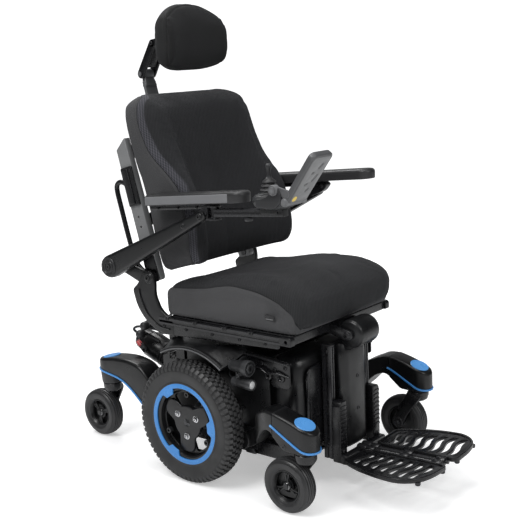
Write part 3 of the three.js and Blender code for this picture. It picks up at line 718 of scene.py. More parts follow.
for end, spoke_start in (("front", math.pi / 2), ("rear", math.radians(-80))):
    wheel = middle(f"{end}_tyre_left")
    place = shift(*wheel)
    pair(f"{end}_tyre", moved(caster_tyre(), place), CASTER, f"{end}_wheel_*", f"{end}_tyre")
    pair(f"{end}_hub", moved(caster_hub(spoke_start), place), BLACK, f"{end}_wheel_*",
        f"{end}_hub")
    pair(f"{end}_axle_cap", moved(caster_axle_cap(), place), STEEL, f"{end}_wheel_*")
    fork_low, fork_high = corners(f"{end}_fork_left")
    swivel_spot = Vector((wheel.x, fork_low.y + 29, 0))
    head = fork_high.z - 50
    fork = caster_fork(swivel_spot, wheel, head)
    pair(f"{end}_fork", fork, SATIN, f"{end}_fork_*", f"{end}_fork")


# ---------------------------------------------------------------- suspension arms
def section(low_x, high_x, low_z, high_z, top_corner, low_corner):
    """A rounded upright cross-section of an arm cover."""
    lower = [(low_x, low_z, low_corner), (high_x, low_z, low_corner)]
    upper = [(high_x, high_z, top_corner), (low_x, high_z, top_corner)]
    return rounded(lower + upper, 0, 4)


class Cover:
    """A suspension arm's cover: its sides and edges as functions of y, closed by a round nose."""

    def __init__(self, inner, outer, lower, upper, trim, nose, nose_radius, forward):
        self.inner, self.outer = curve(inner), curve(outer)
        self.lower, self.upper, self.trim = curve(lower), curve(upper), curve(trim)
        self.nose, self.nose_radius, self.forward = nose, nose_radius, forward

    def width(self, y):
        """(inner x, outer x), closing in over the nose on a softened circle."""
        low, high = self.inner(y), self.outer(y)
        into = (y - self.nose) * self.forward + self.nose_radius
        if into <= 0:
            return low, high
        share = min(1, into / self.nose_radius)
        half = (high - low) / 2 * max(0.01, 1 - share**2.2) ** (1 / 2.2)
        mid = (low + high) / 2
        return mid - half, mid + half

    def stations(self, start, end, count):
        """Positions along y that bunch up towards the nose."""
        return [start + (end - start) * math.sin(math.pi / 2 * k / count) for k in range(count + 1)]

    def shell(self, start, end, count=26, grow=0.0, corner=9):
        loops = []
        for y in self.stations(start, end, count):
            low_x, high_x = self.width(y)
            low_z, high_z = self.lower(y), self.upper(y)
            edge = min(corner, (high_x - low_x) * 0.3, (high_z - low_z) * 0.3)
            shape = section(low_x - grow, high_x + grow, low_z - grow, high_z + grow, edge, min(edge, 5))
            loops.append([(x, y, z) for x, z in shape])
        return rings(loops, angle=34)

    def strip(self, start):
        """The trim line that runs along both sides and round the nose."""
        width, proud = 5.2, 1.1
        edge = self.stations(start, self.nose, 26)
        spots = [(self.width(y)[1], y, self.trim(y)) for y in edge]
        spots += [(self.width(y)[0], y, self.trim(y)) for y in reversed(edge)]
        loops = []
        for i, spot in enumerate(spots):
            ahead = Vector(spots[min(i + 1, len(spots) - 1)]) - Vector(spots[max(i - 1, 0)])
            out = Vector((ahead.y, -ahead.x, 0)).normalized() * -self.forward
            up = ahead.cross(out).normalized()
            if up.z < 0:
                up = -up
            shape = rectangle(-3, -width / 2, proud, width / 2, 0.9, 2)
            loops.append([Vector(spot) + out * a + up * b for a, b in shape])
        return rings(loops, angle=40)

    def badge(self, spot_y, radius):
        """The round cap set on top of the swivel, tilted with the top of the cover."""
        thickness = 2.2
        rise = (self.upper(spot_y + 12) - self.upper(spot_y - 12)) / 24
        low_x, high_x = self.width(spot_y)
        profile = [(0, -3), (radius, -3), (radius, thickness - 0.9), (radius - 0.9, thickness),
            (0, thickness + 0.4)]
        disc = turned(profile, "Z", sides=56)
        place = shift((low_x + high_x) / 2, spot_y, self.upper(spot_y))
        return moved(disc, place @ turn(math.atan(rise), "X"))


FRONT_SWIVEL = Vector((middle("front_tyre_left").x, corners("front_fork_left")[0].y + 29, 0))
REAR_SWIVEL = Vector((middle("rear_tyre_left").x, corners("rear_fork_left")[0].y + 29, 0))
FRONT = Cover(
    inner=[(-452, 257), (-380, 257), (-330, 254), (-285, 236), (-240, 212), (-200, 204), (-120, 204)],
    outer=[(-452, 323), (-345, 323), (-300, 317), (-250, 294), (-210, 246), (-180, 236), (-120, 236)],
    lower=[(-452, 185), (-444, 182), (-372, 182), (-356, 189), (-338, 204), (-318, 221), (-300, 222),
           (-280, 211), (-252, 180), (-213, 143), (-168, 117), (-140, 117), (-118, 134)],
    upper=[(-452, 234), (-447, 240), (-438, 245.5), (-420, 252.5), (-400, 260), (-385, 265.5), (-350, 275),
           (-325, 279.5), (-300, 279), (-285, 273), (-252, 257), (-224, 222), (-196, 189), (-160, 166),
           (-140, 162), (-118, 146)],
    trim=[(-452, 186.5), (-430, 190), (-408, 199), (-376, 216), (-346, 232), (-324, 244)],
    nose=corners("front_arm_left")[0].y,
    nose_radius=38,
    forward=-1,
)
REAR = Cover(
    inner=[(182, 137), (482, 137)],
    outer=[(182, 209), (482, 209)],
    lower=[(180, 122), (200, 108), (222, 108), (256, 136), (285, 161), (325, 193), (368, 215), (430, 226),
           (482, 233)],
    upper=[(180, 142), (190, 160), (232, 222), (272, 266), (315, 281), (360, 284), (410, 280), (448, 273.5),
           (482, 266)],
    trim=[(222, 111), (256, 139), (285, 164), (325, 196), (368, 218), (430, 229), (482, 236)],
    nose=corners("rear_arm_left")[1].y,
    nose_radius=46,
    forward=1,
)


def front_arm():
    """The casting from the pivot, then the clip-on nose cover with a seam between them."""
    root = FRONT.shell(-120, -326, 22, -1.2, 8)
    nose = FRONT.shell(-329, FRONT.nose, 30, 0, 9)
    eye = turned([(10, 199), (26, 199), (28, 201), (28, 240), (26, 242), (10, 242), (10, 199)], "X",
        (0, -150, 140), 40)
    seat = turned([(0, 178), (30, 180), (31, 186), (31, 232), (0, 232)], "Z", FRONT_SWIVEL, 40)
    return joined([root, nose, eye, seat], 34)


def rear_arm():
    """The rear cover and its pivot eye."""
    body = REAR.shell(180, REAR.nose, 44, 0, 11)
    ring = [(10, 133), (24, 133), (26, 135), (26, 211), (24, 213), (10, 213), (10, 133)]
    eye = turned(ring, "X", (0, 205, 130), 40)
    return joined([body, eye], 34)


def arm_bolts():
    """The bolts on the outer face of the front cover and at the pivot."""
    parts = [bolt(6, 3.2, shift(FRONT.width(-366)[1] - 0.5, -366, 194)), bolt(12, 5, shift(241, -150, 140))]
    return joined(parts)


front_badge = FRONT.badge(FRONT_SWIVEL.y - 2, 28.5)
rear_badge = REAR.badge(REAR_SWIVEL.y - 8, 28.5)
stem = [(0, 189), (31, 190), (32, 194), (35, 236), (35, 240), (0, 240)]
pair("front_arm", front_arm(), BLACK, "front_arm_*", "front_arm")
pair("front_arm_strip", FRONT.strip(-322), BLUE, "front_arm_*")
pair("front_arm_badge", front_badge, BLUE, "front_arm_*")
pair("front_arm_bolts", arm_bolts(), DARK, "front_arm_*")
pair("rear_arm", rear_arm(), BLACK, "rear_arm_*", "rear_arm")
pair("rear_arm_stem", turned(stem, "Z", REAR_SWIVEL, 48), DARK, "rear_arm_*")
pair("rear_arm_strip", REAR.strip(236), BLUE, "rear_arm_*")
pair("rear_arm_badge", rear_badge, BLUE, "rear_arm_*")


# ---------------------------------------------------------------- base: covers, motors, lamps and cables
def front_cover():
    """The moulded box over the batteries: round front corners, a rolled top edge and a rounded hood."""
    low, high = corners("front_shroud")
    half, front, back_edge = high.x, low.y, high.y
    loops = []
    for z, inset in ((low.z, 0), (low.z + 12, 0), (300, 0), (345, 1.5), (362, 5), (373, 12), (379, 24),
            (380, 40)):
        plan = [(-half + inset, back_edge), (-half + inset, front + 22 + inset, 26), (-120, front + inset,
            40), (120, front + inset, 40), (half - inset, front + 22 + inset, 26), (half - inset,
            back_edge)]
        loops.append([(x, y, z) for x, y in rounded(plan, 0, 7)])
    return rings(loops, angle=40)


def raised_panel():
    """The panel that stands proud of the front cover, with a rounded shoulder."""
    low = corners("front_shroud")[0]
    outline = rounded([(-148, 118, 8), (148, 118, 8), (152, 352, 34), (-152, 352, 34)], 0, 8)
    highlight_strip = plate(outline, 9, (), 3.2, 4)
    rim = plate(rounded([(-139, 127, 8), (139, 127, 8), (142, 342, 30), (-142, 342, 30)], 0, 8), 10.4, (),
        1.2)
    both = joined([highlight_strip, rim])
    return moved(both, shift(0, low.y + 0.5, 0) @ FACING_Y)


ARCH_RADIUS = 212


def fender():
    """The moulded fairing over a drive wheel: it rises from a rolled lip to the side of the body."""
    first, last = math.acos(100 / ARCH_RADIUS), math.pi - math.acos(124 / ARCH_RADIUS)
    top = corners("body_shroud")[1].z
    ceiling = top + 0.5
    across = [(287.5, 211), (288.5, 214), (287, 217.5), (281, 220), (262, 226), (238, 236), (216, 248),
        (201, 262), (201, 216), (276, 211.5)]
    loops = []
    steps = 40
    for k in range(steps + 1):
        angle = first + (last - first) * k / steps
        loop = []
        for x, radius in across:
            y, z = radius * math.cos(angle), DRIVE.z + radius * math.sin(angle)
            lower = DRIVE.z + min(radius, 221) * math.sin(angle)
            loop.append((x, y, min(z, max(lower, ceiling - (x < 240) * 0.2))))
        loops.append(loop)
    return rings(loops, angle=36)


def lip():
    """The rolled edge of the fender, in a lighter grey as a painted highlight along it."""
    first, last = math.acos(100 / ARCH_RADIUS), math.pi - math.acos(124 / ARCH_RADIUS)
    steps = 40
    path = []
    for k in range(steps + 1):
        angle = first + (last - first) * k / steps
        path.append((286.4, 214 * math.cos(angle), DRIVE.z + 214 * math.sin(angle)))
    return swept(path, round_section(2.4, 10))


def motor_parts():
    """Gearbox, ribbed motor can and end bell, drawn along their own axis."""
    start, end = (84, 20, 185), (84, 352, 309.5)
    length = (Vector(end) - Vector(start)).length
    can = [(0, 128), (38, 128)]
    for k in range(14):
        x = 134 + k * 11
        can += [(42, x), (42, x + 6), (40.2, x + 7.2), (40.2, x + 9.8)]
    can += [(42, length - 58), (42, length - 12), (38, length - 2), (36.5, length), (36.5, length + 8),
        (35.5, length + 10), (34, length + 28), (31, length + 36), (26, length + 40), (14, length + 40),
        (12, length + 34), (0, length + 34)]
    gear = [(0, -30), (34, -30), (38, -24), (41, -12), (41, 60), (46, 66), (46, 74), (44, 76), (44, 92),
        (46, 94), (46, 102), (41, 108), (41, 122), (38, 128), (0, 128)]
    black = [moved(turned(can, "X", sides=48), aim(start, end))]
    grey = [moved(turned(gear, "X", sides=48), aim(start, end))]
    for k in range(8):
        spoke = k * math.pi / 4
        rib = swept([(112, 41, 0), (150, 41.5, 0), (178, 40.5, 0)], box_section(5, 5, 1.5, 2))
        grey.append(moved(rib, aim(start, end) @ turn(spoke + 0.2, "X")))
        grey.append(bolt(3.4, 3, aim(start, end) @ turn(spoke, "X") @ shift(102, 43, 0)))
    hub = [(0, 112), (44, 112), (48, 117), (48, 168), (44, 172), (44, 180), (49, 184), (49, 200), (46, 204),
        (46, 216), (40, 222), (40, 232), (34, 236), (30, 243), (12, 243), (12, 300), (0, 300)]
    grey.append(turned(hub, "X", (0, 0, DRIVE.z), 48))
    for k in range(6):
        angle = k * math.pi / 3 + 0.3
        y, z = 43 * math.cos(angle), DRIVE.z + 43 * math.sin(angle)
        grey.append(bolt(4.5, 3.5, shift(203.5, y, z)))
    block = plate(rectangle(-46, 136, 64, 230, 14, 4), 66, (), 5, 3)
    grey.append(moved(block, shift(94, 0, 0) @ FACING_X))
    foot = side_plate(180, rounded([(-32, 124.3), (32, 124.3), (26, 152), (-26, 152)], 3, 3), 16, (), 1.2)
    grey.append(foot)
    return joined(grey), joined(black)


def motor_cables():
    """Two sheathed cables from the motor's end bell to the controller, and the gland they leave from."""
    parts = [tube([(70, 388, 330), (62, 404, 352), (58, 372, 372), (62, 300, 374), (74, 200, 372),
        (84, 60, 380), (90, -40, 366), (96, -108, 336)], 4.4, 10), tube([(98, 386, 334), (108, 398, 352),
        (112, 366, 366), (110, 290, 366), (104, 190, 364), (104, 60, 374), (112, -30, 356),
        (118, -108, 326)], 4.0, 10), moved(turned([(0, 0), (9, 0), (9, 8), (7, 9), (7, 16), (0, 16)], "X",
        sides=6), aim((84, 372, 318), (80, 396, 336)))]
    for y, z in ((302, 386), (323, 357)):
        knob = [(0, -14), (9, -14), (13, -9), (14, 0), (13, 9), (9, 14), (4, 16), (0, 16)]
        parts.append(turned(knob, "X", (150, y, z), 32))
        parts.append(tube([(136, y, z), (120, y - 10, z - 12), (104, y - 34, z - 30)], 5))
    return joined(parts)


def lamp():
    """A tapered lamp with a hexagonal collar over a round one with a pale lens, on a bent bracket."""
    upper, lower = (250, -134, 360), (250, -140, 314)
    head = [(0, 0), (12, 0), (15, 3), (16, 14), (17, 30), (20, 48), (21.5, 52), (21.5, 55), (22.5, 56),
        (22.5, 70), (21, 72), (18.5, 72), (17, 68), (0, 68)]
    tail = [(0, 0), (11, 0), (14, 3), (14, 20), (13.2, 21), (13.2, 24), (14, 25), (14, 52), (15.5, 54),
        (15.5, 70), (14.5, 72.5), (12.6, 72.5), (12, 70), (0, 70)]
    toward = Vector((0.06, -1, 0))
    parts = [moved(turned(head, "X", sides=44), aim(upper, Vector(upper) + toward)), moved(turned(tail, "X",
        sides=40), aim(lower, Vector(lower) + toward)), moved(turned([(6, 66), (14, 66), (14, 71), (12, 72),
        (6, 72)], "X", sides=6, angle=20), aim(upper, Vector(upper) + toward))]
    bracket = rounded([(-36, -34, 6), (18, -34, 6), (18, 34, 6), (0, 42, 10), (-36, 30, 8)], 0, 4)
    parts.append(moved(plate(bracket, 5, (), 1.4), shift(222, -158, 340) @ turn(math.pi / 2,
        "Z") @ FACING_X))
    parts.append(tube([(202, -166, 330), (222, -160, 334), (240, -162, 338), (250, -166, 340)], 8))
    parts.append(tube([(248, -140, 318), (238, -118, 328), (218, -112, 344), (204, -116, 350)], 3, 8))
    parts.append(bolt(5, 4, shift(266, -172, 338)))
    return joined(parts), moved(
        turned([(0, 72.5), (7, 71.8), (12.4, 69.5), (12.4, 67), (0, 67)], "X", sides=36),
        aim(lower, Vector(lower) + toward),
    )


def tie_down():
    """The steel loop that a vehicle's strap hooks to, ahead of the drive wheel, with its gusset."""
    loop = [(200, -128, 168), (214, -132, 166), (226, -137, 174), (229, -142, 196), (226, -140, 214),
        (214, -134, 222), (200, -130, 220)]
    gusset = side_plate(196, rounded([(-166, 84, 4), (-128, 84, 4), (-128, 124, 4), (-142, 124, 4)], 0, 3),
        5)
    return joined([tube(loop, 4.2), gusset])


def side_panel():
    """The pressed panel and fittings between the fender and the seat rail."""
    plate_shape = rounded([(-300, 300, 10), (-236, 300, 10), (-236, 330, 6), (-128, 360, 10),
        (-128, 390, 6), (-300, 378, 12)], 0, 5)
    parts = [side_plate(200, plate_shape, 5, (), 1.6, 3)]
    rib = swept([(207, -296, 372), (207, -200, 380), (207, -132, 384)], box_section(8, 6, 2))
    parts.append(rib)
    for y, z in ((-286, 360), (-250, 352), (-206, 362), (-160, 374)):
        parts.append(bolt(6, 4, shift(202, y, z)))
    for y in (-272, -228):
        grommet = [(5, 0), (11, 0), (12, 2), (11, 5), (7, 6), (5, 4), (5, 0)]
        parts.append(turned(grommet, "X", (202, y, 330), 28))
    wire = [(204, -300, 336), (212, -262, 344), (214, -232, 340), (212, -206, 350), (206, -180, 348)]
    parts.append(tube(wire, 3.2, 8))
    return joined(parts)


def release_tab():
    """The small red grip on the end of a clutch lever."""
    grip = [(0, 0), (5.5, 0), (7.5, 2), (8, 6), (8, 16), (6.5, 20), (0, 21)]
    return moved(turned(grip, "X", sides=28), aim((131.5, 343, 311), (131.5, 358, 323.7)))


add_object("front_cover", front_cover(), BLACK, "base", ("front_shroud",))
add_object("raised_panel", raised_panel(), SATIN, "base")
gearbox, motor_can = motor_parts()
pair("gearbox", gearbox, CASTING, "base", "gearmotor")
pair("motor_can", motor_can, BLACK, "base")
pair("motor_cables", motor_cables(), DARK, "base")
lamp_body, lamp_lens = lamp()
pair("headlamp", lamp_body, DARK, "base", "headlamp")
pair("lamp_lens", lamp_lens, LENS, "base")
pair("fender", fender(), BLACK, "base")
# The lip's lighter graphite is a painted highlight along the fender's rolled edge.
pair("fender_lip", lip(), GRAPHITE, "base")
pair("tie_down", tie_down(), CASTING, "base")
pair("side_panel", side_panel(), SATIN, "base")
dress("body_shroud", BLACK, 1.6)
dress("chassis_frame", SATIN)
dress("control_module", DARK, 2)
for side, sign in SIDES:
    dress(f"battery_{side}", DARK, 2)
    dress(f"release_lever_{side}", DARK, 1)
    add_object(f"release_tab_{side}", moved(release_tab(), side_matrix(sign)), RED, f"release_lever_{side}")


# ---------------------------------------------------------------- padded pieces
def puffed(mesh, voxel, pressure, cap, held):
    """Remeshes a closed shape evenly, blows it up as cloth, and limits how far any point may move.

    held says, for a point in millimetres, whether it stays where it is.
    """
    holder = bpy.data.objects.new("padding", mesh)
    bpy.context.scene.collection.objects.link(holder)
    remesh = holder.modifiers.new("even", "REMESH")
    remesh.mode = "VOXEL"
    remesh.voxel_size = voxel * MM
    depsgraph = bpy.context.evaluated_depsgraph_get()
    even = bpy.data.meshes.new_from_object(holder.evaluated_get(depsgraph))
    holder.modifiers.clear()
    holder.data = even
    rest = read_points(even)
    pins = holder.vertex_groups.new(name="held")
    pins.add([i for i, p in enumerate(rest / MM) if held(p)], 1.0, "REPLACE")
    cloth_step = holder.modifiers.new("cloth", "CLOTH")
    settings = cloth_step.settings
    settings.vertex_group_mass = "held"
    settings.use_pressure = True
    settings.uniform_pressure_force = pressure
    settings.tension_stiffness = settings.compression_stiffness = 12
    settings.shear_stiffness = 4
    settings.bending_stiffness = 0.4
    settings.effector_weights.gravity = 0
    for step in range(1, 21):
        bpy.context.scene.frame_set(step)
    blown = holder.evaluated_get(bpy.context.evaluated_depsgraph_get())
    grown = read_points(blown.data)
    holder.modifiers.clear()
    bpy.context.scene.frame_set(1)
    travel = grown - rest
    length = np.linalg.norm(travel, axis=1, keepdims=True)
    travel *= np.tanh(length / (cap * MM)) * cap * MM / np.maximum(length, 1e-9)
    write_points(even, rest + travel)
    fine = holder.modifiers.new("fine", "SUBSURF")
    fine.levels = fine.render_levels = 1
    result = bpy.data.meshes.new_from_object(holder.evaluated_get(bpy.context.evaluated_depsgraph_get()))
    bpy.data.objects.remove(holder)
    result.shade_smooth()
    return result


def read(values, key):
    """A mesh's points ("co") or normals ("vector") as rows of three."""
    flat = np.empty(len(values) * 3)
    values.foreach_get(key, flat)
    return flat.reshape(-1, 3)


def read_points(mesh):
    """A mesh's points as rows of x, y and z."""
    return read(mesh.vertices, "co")


def write_points(mesh, points):
    """Put changed points back into a mesh."""
    mesh.vertices.foreach_set("co", points.ravel())
    mesh.update()


def sew(mesh, distance, depth=1.8, width=2.6):
    """Stores each point's distance to the seam in millimetres and pulls the cloth in along it."""
    attribute = mesh.attributes.new("seam", "FLOAT", "POINT")
    attribute.data.foreach_set("value", distance.astype(np.float32))
    pull = depth * np.exp(-((distance / width) ** 2))
    swell = 0.8 * np.exp(-(((np.abs(distance) - 9) / 5) ** 2))
    points = read_points(mesh)
    write_points(mesh, points + read(mesh.vertex_normals, "vector") * ((swell - pull) * MM)[:, None])
    return mesh


def cover_cloth(name, face, side, strip=None, run="Y", face_pitch=4.2):
    """Two cloths that meet at a stitched seam: side cloth where the seam distance is positive."""
    paint = Paint(name, face, 0.92)
    distance = paint.node("ShaderNodeAttribute", attribute_name="seam").outputs["Fac"]
    face_grid, fine_grid, coarse_grid = paint.grid(face_pitch), paint.grid(1.3), paint.grid(7.0)

    def blend_colour(share, before, after):
        mix = paint.node("ShaderNodeMix", [("Factor", share)], data_type="RGBA")
        for index, value in ((6, before), (7, after)):
            if isinstance(value, tuple):
                mix.inputs[index].default_value = (*value, 1)
            else:
                paint.links.new(value, mix.inputs[index])
        return mix.outputs[2]

    def blend_value(share, before, after):
        mix = paint.node("ShaderNodeMix", [("Factor", share), (2, before), (3, after)])
        return mix.outputs[0]

    def tone(colour, amount, share):
        dark, light = (tuple(c * k for c in colour) for k in (1 - amount, 1 + amount))
        return blend_colour(share, dark, light)

    side_share = paint.ramp(distance, from_min=-0.4, from_max=0.4)
    colour = tone(face, 0.5, face_grid)
    height = face_grid
    if strip:
        strip_share = paint.ramp(distance, from_min=-27, from_max=-22)
        colour = blend_colour(strip_share, colour, tone(strip, 0.6, coarse_grid))
        height = blend_value(strip_share, height, coarse_grid)
    colour = blend_colour(side_share, colour, tone(side, 0.18, fine_grid))
    haze = paint.ramp(paint.noise(7, 4), to_min=0.82, to_max=1.18)
    shaded = paint.node("ShaderNodeVectorMath", [(0, colour), (1, haze)], operation="MULTIPLY")
    thread = paint.node("ShaderNodeMath", [(0, distance)], operation="COMPARE")
    thread.inputs[1].default_value = 0
    thread.inputs[2].default_value = 0.9
    line = tuple(c * 0.3 for c in face)
    paint.links.new(blend_colour(thread.outputs[0], shaded.outputs[0], line),
        paint.shader.inputs["Base Color"])
    relief = blend_value(side_share, height, paint.spread(fine_grid, 0.4, 0.6))
    paint.bump(paint.noise(45, 3), 0.8, 0.5).bump(relief, 0.7).bump(stitches(paint, distance, run), 0.5)
    paint.bump(paint.noise(2200, 1), 0.06, 0.5).sheen(0.07, (0.6, 0.6, 0.66))
    return paint.material


def stitches(paint, distance, run):
    """A row of short stitches beside the seam, running along one axis."""
    spacing, away = 6.0, 4.5
    row = paint.node("ShaderNodeMath", [(0, distance)], operation="COMPARE")
    row.inputs[1].default_value = -away
    row.inputs[2].default_value = 0.7
    along = paint.node("ShaderNodeSeparateXYZ", [("Vector", paint.place)]).outputs[run]
    wave = paint.node("ShaderNodeMath", [(0, along)], operation="MULTIPLY")
    wave.inputs[1].default_value = 2 * math.pi / (spacing * MM)
    dash = paint.node("ShaderNodeMath", [(0, wave.outputs[0])], operation="SINE")
    both = paint.node("ShaderNodeMath", [(0, row.outputs[0]), (1, dash.outputs[0])], operation="MULTIPLY")
    return both.outputs[0]


# Seat cushion: rings of a rounded plan from the flat underside to the crowned top.
SEAT_LOW, SEAT_HIGH = corners("seat_cushion")
SEAT_HALF = SEAT_HIGH.x - 5
seat_seam = curve([(-400, 420), (-356, 480), (-341, 513), (-318, 533), (-292, 545), (-250, 559),
    (-206, 568), (-125, 573), (-70, 566), (-20, 556), (60, 548), (140, 542)])
seat_top = curve([(-380, 574), (-340, 587), (-290, 595), (-210, 598), (-143, 593), (-80, 582), (-20, 571),
    (60, 563), (150, 556)])


def seat_base():
    """The seat cushion before its cloth is puffed: rounded outlines, one above the other."""
    z0, half, front, rear = SEAT_LOW.z + 0.5, SEAT_HALF, SEAT_LOW.y + 4, SEAT_HIGH.y + 6
    levels = ((0, 12, 34, 22, 22), (3, 5, 26, 18, 26), (14, 1, 16, 12, 30), (40, -1, 5, 5, 34),
        (70, 0, 0, 1, 36), (90, 1, 3, 2, 40), (104, 5, 12, 9, 46), (114, 14, 28, 24, 54),
        (121, 32, 56, 52, 66), (125, 62, 96, 92, 80), (127, 110, 150, 150, 90))
    loops = []
    for up, side_in, front_in, rear_in, corner in levels:
        w = half - side_in
        plan = [(-w, front + front_in, corner), (w, front + front_in, corner), (w, rear - rear_in,
            corner * 0.6), (-w, rear - rear_in, corner * 0.6)]
        loop = []
        for x, y in evenly(rounded(plan, 0, 8), 96):
            loop.append((x, y, z0 + (seat_top(y) - z0) * up / 127))
        loops.append(loop)
    return rings(loops)


def evenly(outline, count):
    """The same closed outline with evenly spread points, starting at its first one."""
    points = np.array([*outline, outline[0]])
    run = np.concatenate([[0], np.cumsum(np.linalg.norm(np.diff(points, axis=0), axis=1))])
    spots = np.linspace(0, run[-1], count, endpoint=False)
    return list(zip(np.interp(spots, run, points[:, 0]), np.interp(spots, run, points[:, 1])))


def seat_cushion():
    mesh = puffed(seat_base(), 6, 5, 9, lambda p: p[2] < SEAT_LOW.z + 5)
    points = read_points(mesh) / MM
    x, y, z = points.T
    dish = 7 * np.exp(-((x / 130) ** 4)) * np.exp(-(((y - 10) / 120) ** 4))
    thighs = 3.5 * np.exp(-(((np.abs(x) - 105) / 62) ** 4)) * np.clip((-y - 60) / 160, 0, 1)
    upper = np.clip((z - 545) / 25, 0, 1)
    points[:, 2] = np.maximum(z - (dish + thighs) * upper, SEAT_LOW.z)
    write_points(mesh, points * MM)
    seam_height = np.array([seat_seam(v) for v in np.linspace(-400, 160, 561)])
    to_top = np.interp(y, np.linspace(-400, 160, 561), seam_height) - z
    to_front = y + 352 - 0.24 * np.maximum(0, z - 472)
    return sew(mesh, np.minimum(to_top, to_front))


# Back cushion: plan sections stacked along the leaning back.
# t runs behind the hinge line, s runs up the back.
LEAN = math.radians(14.8)
RECLINE = Vector((0, 180, 568))
BACK_REAR = -29


def leaning(x, t, s):
    """A point of the leaning back, from its distances across, behind the hinge and up."""
    y = RECLINE.y + t * math.cos(LEAN) + s * math.sin(LEAN)
    z = RECLINE.z + s * math.cos(LEAN) - t * math.sin(LEAN)
    return Vector((x, y, z))


LEAN_MATRIX = (Matrix.Translation(RECLINE * MM) @ Matrix.Rotation(-LEAN, 4, "X"))

back_width = curve([(0, 200), (8, 210), (40, 216), (120, 216), (190, 214), (280, 214), (320, 217),
    (400, 220), (450, 220), (485, 215), (505, 204), (519, 186), (528, 160)])
wing_front = curve([(0, -180), (8, -198), (40, -216), (100, -227), (174, -229), (220, -220), (264, -204),
    (310, -186), (373, -172), (430, -164), (463, -157), (493, -142), (514, -120), (528, -94)])
lumbar_front = curve([(0, -98), (20, -114), (60, -123), (160, -128), (260, -124), (360, -132), (450, -141),
    (495, -132), (514, -114), (528, -90)])
back_seam = curve([(0, -156), (52, -170), (86, -180), (150, -186), (216, -183), (250, -168), (286, -145),
    (347, -112), (400, -101), (451, -96), (530, -100)])


def back_base():
    loops = []
    heights = [0, 3, 8, 18, 34] + [50 + 14 * k for k in range(31)] + [482, 494, 504, 512, 519, 525, 528]
    for s in heights:
        w, wing, centre = back_width(s), wing_front(s), lumbar_front(s)
        depth = wing - centre
        rear = BACK_REAR - max(0, 18 - s) * 0.5 - max(0, s - 505) * 0.9
        plan = [(-w + 12, rear, 14), (-w, (rear + wing) / 2, 60), (-w + 8, wing, 20), (-w + 40, wing + 2,
            22), (-w + 74, centre + depth * 0.25, 50), (0, centre), (w - 74, centre + depth * 0.25, 50),
            (w - 40, wing + 2, 22), (w - 8, wing, 20), (w, (rear + wing) / 2, 60), (w - 12, rear, 14)]
        loops.append([(x, t, s) for x, t in evenly(rounded(plan, 0, 7), 140)])
    return moved(rings(loops), LEAN_MATRIX)


def back_cushion():
    unlean = LEAN_MATRIX.inverted()
    mesh = puffed(back_base(), 7, 5, 8, lambda p: (unlean @ (Vector(p) * MM)).y > (BACK_REAR - 1.5) * MM)
    straight = np.array(unlean)
    points = read_points(mesh)
    x, t, s = ((points @ straight[:3, :3].T + straight[:3, 3]) / MM).T
    grid = np.linspace(-20, 560, 581)
    seam_line = np.interp(s, grid, [back_seam(v) for v in grid])
    distance = (t - seam_line) * 0.85 - np.maximum(0, 182 - np.abs(x)) * 1.2
    distance[t > -50] = 40
    return sew(mesh, distance)


# Headrest: side-view sections carried across the pad, curving forward at both ends.
PAD_HALF = corners("headrest_pad")[1].x


def headrest_base():
    half = PAD_HALF + 4
    loops = []
    count = 44
    for k in range(count + 1):
        share = math.sin(math.pi * (k / count - 0.5))
        x = half * share
        a = abs(share)
        front = 164 - 30 * a**2.6
        rear = 236 - 20 * a**3
        low = 1152 + 26 * a**3
        high = 1352 - 52 * a**2.4
        shrink = max(0.30, 1 - max(0, a - 0.90) ** 2 * 60)
        mid_y, mid_z = (front + rear) / 2, (low + high) / 2
        half_y, half_z = (rear - front) / 2 * shrink, (high - low) / 2 * (0.35 + 0.65 * shrink)
        loop = []
        for j in range(64):
            angle = 2 * math.pi * j / 64
            c, s = math.cos(angle), math.sin(angle)
            loop.append((x, mid_y + half_y * math.copysign(abs(c) ** 0.72, c), mid_z + half_z
                * math.copysign(abs(s) ** 0.72, s)))
        loops.append(loop)
    return rings(loops)


def headrest_pad():
    mesh = puffed(headrest_base(), 4.5, 5, 5, lambda p: p[1] > 232 and abs(p[0]) < 40)
    x, y, z = (read_points(mesh) / MM).T
    bulge = 9 * ((z - 1250) / 90) ** 2
    distance = y - (176 - 18 * (np.abs(x) / 120) ** 2 + bulge)
    return sew(mesh, distance, 2.0, 2.4)


def tag(cushion, y, z):
    """The small blank label sewn to the cushion's right side: (label, line)."""
    points = read_points(cushion) / MM
    near = (np.abs(points[:, 1] - y) < 16) & (np.abs(points[:, 2] - z) < 9)
    spot = shift(points[near, 0].min() + AXLE.x, y, z) @ FACING_X
    body = plate(rectangle(-16, -8, 16, 8, 1.2, 2), 2, (), 0.5)
    line = plate(rectangle(-12, -5.4, 12, -3.8, 0.3, 2), 2.6, (), 0.2)
    return moved(body, spot), moved(line, spot)


SEAT_CLOTH = cover_cloth("seat_cloth", (0.017, 0.0175, 0.019), (0.052, 0.052, 0.054))
BACK_CLOTH = cover_cloth("back_cloth", (0.0105, 0.0108, 0.0125), (0.044, 0.044, 0.046),
    strip=(0.042, 0.042, 0.050), run="Z")
HEAD_CLOTH = cover_cloth("headrest_cloth", (0.0036, 0.0038, 0.004), (0.006, 0.0062, 0.0065), run="Z",
    face_pitch=1.1)
cushion = seat_cushion()
tag_parts = tag(cushion, -268, 508)
add_object("seat_cushion", cushion, SEAT_CLOTH, "seat", ("seat_cushion",))
add_object("back_cushion", back_cushion(), BACK_CLOTH, "back", ("back_cushion",))
add_object("headrest_pad", headrest_pad(), HEAD_CLOTH, "headrest_pad", ("headrest_pad",))
for piece, mesh, material in zip(("seat_tag", "seat_tag_line"), tag_parts, (SATIN, GREY)):
    add_object(piece, mesh, material, "seat")


# ---------------------------------------------------------------- seat frame
RAIL_REAR, RAIL_FRONT, RAIL_TOP = 145, -302, 457


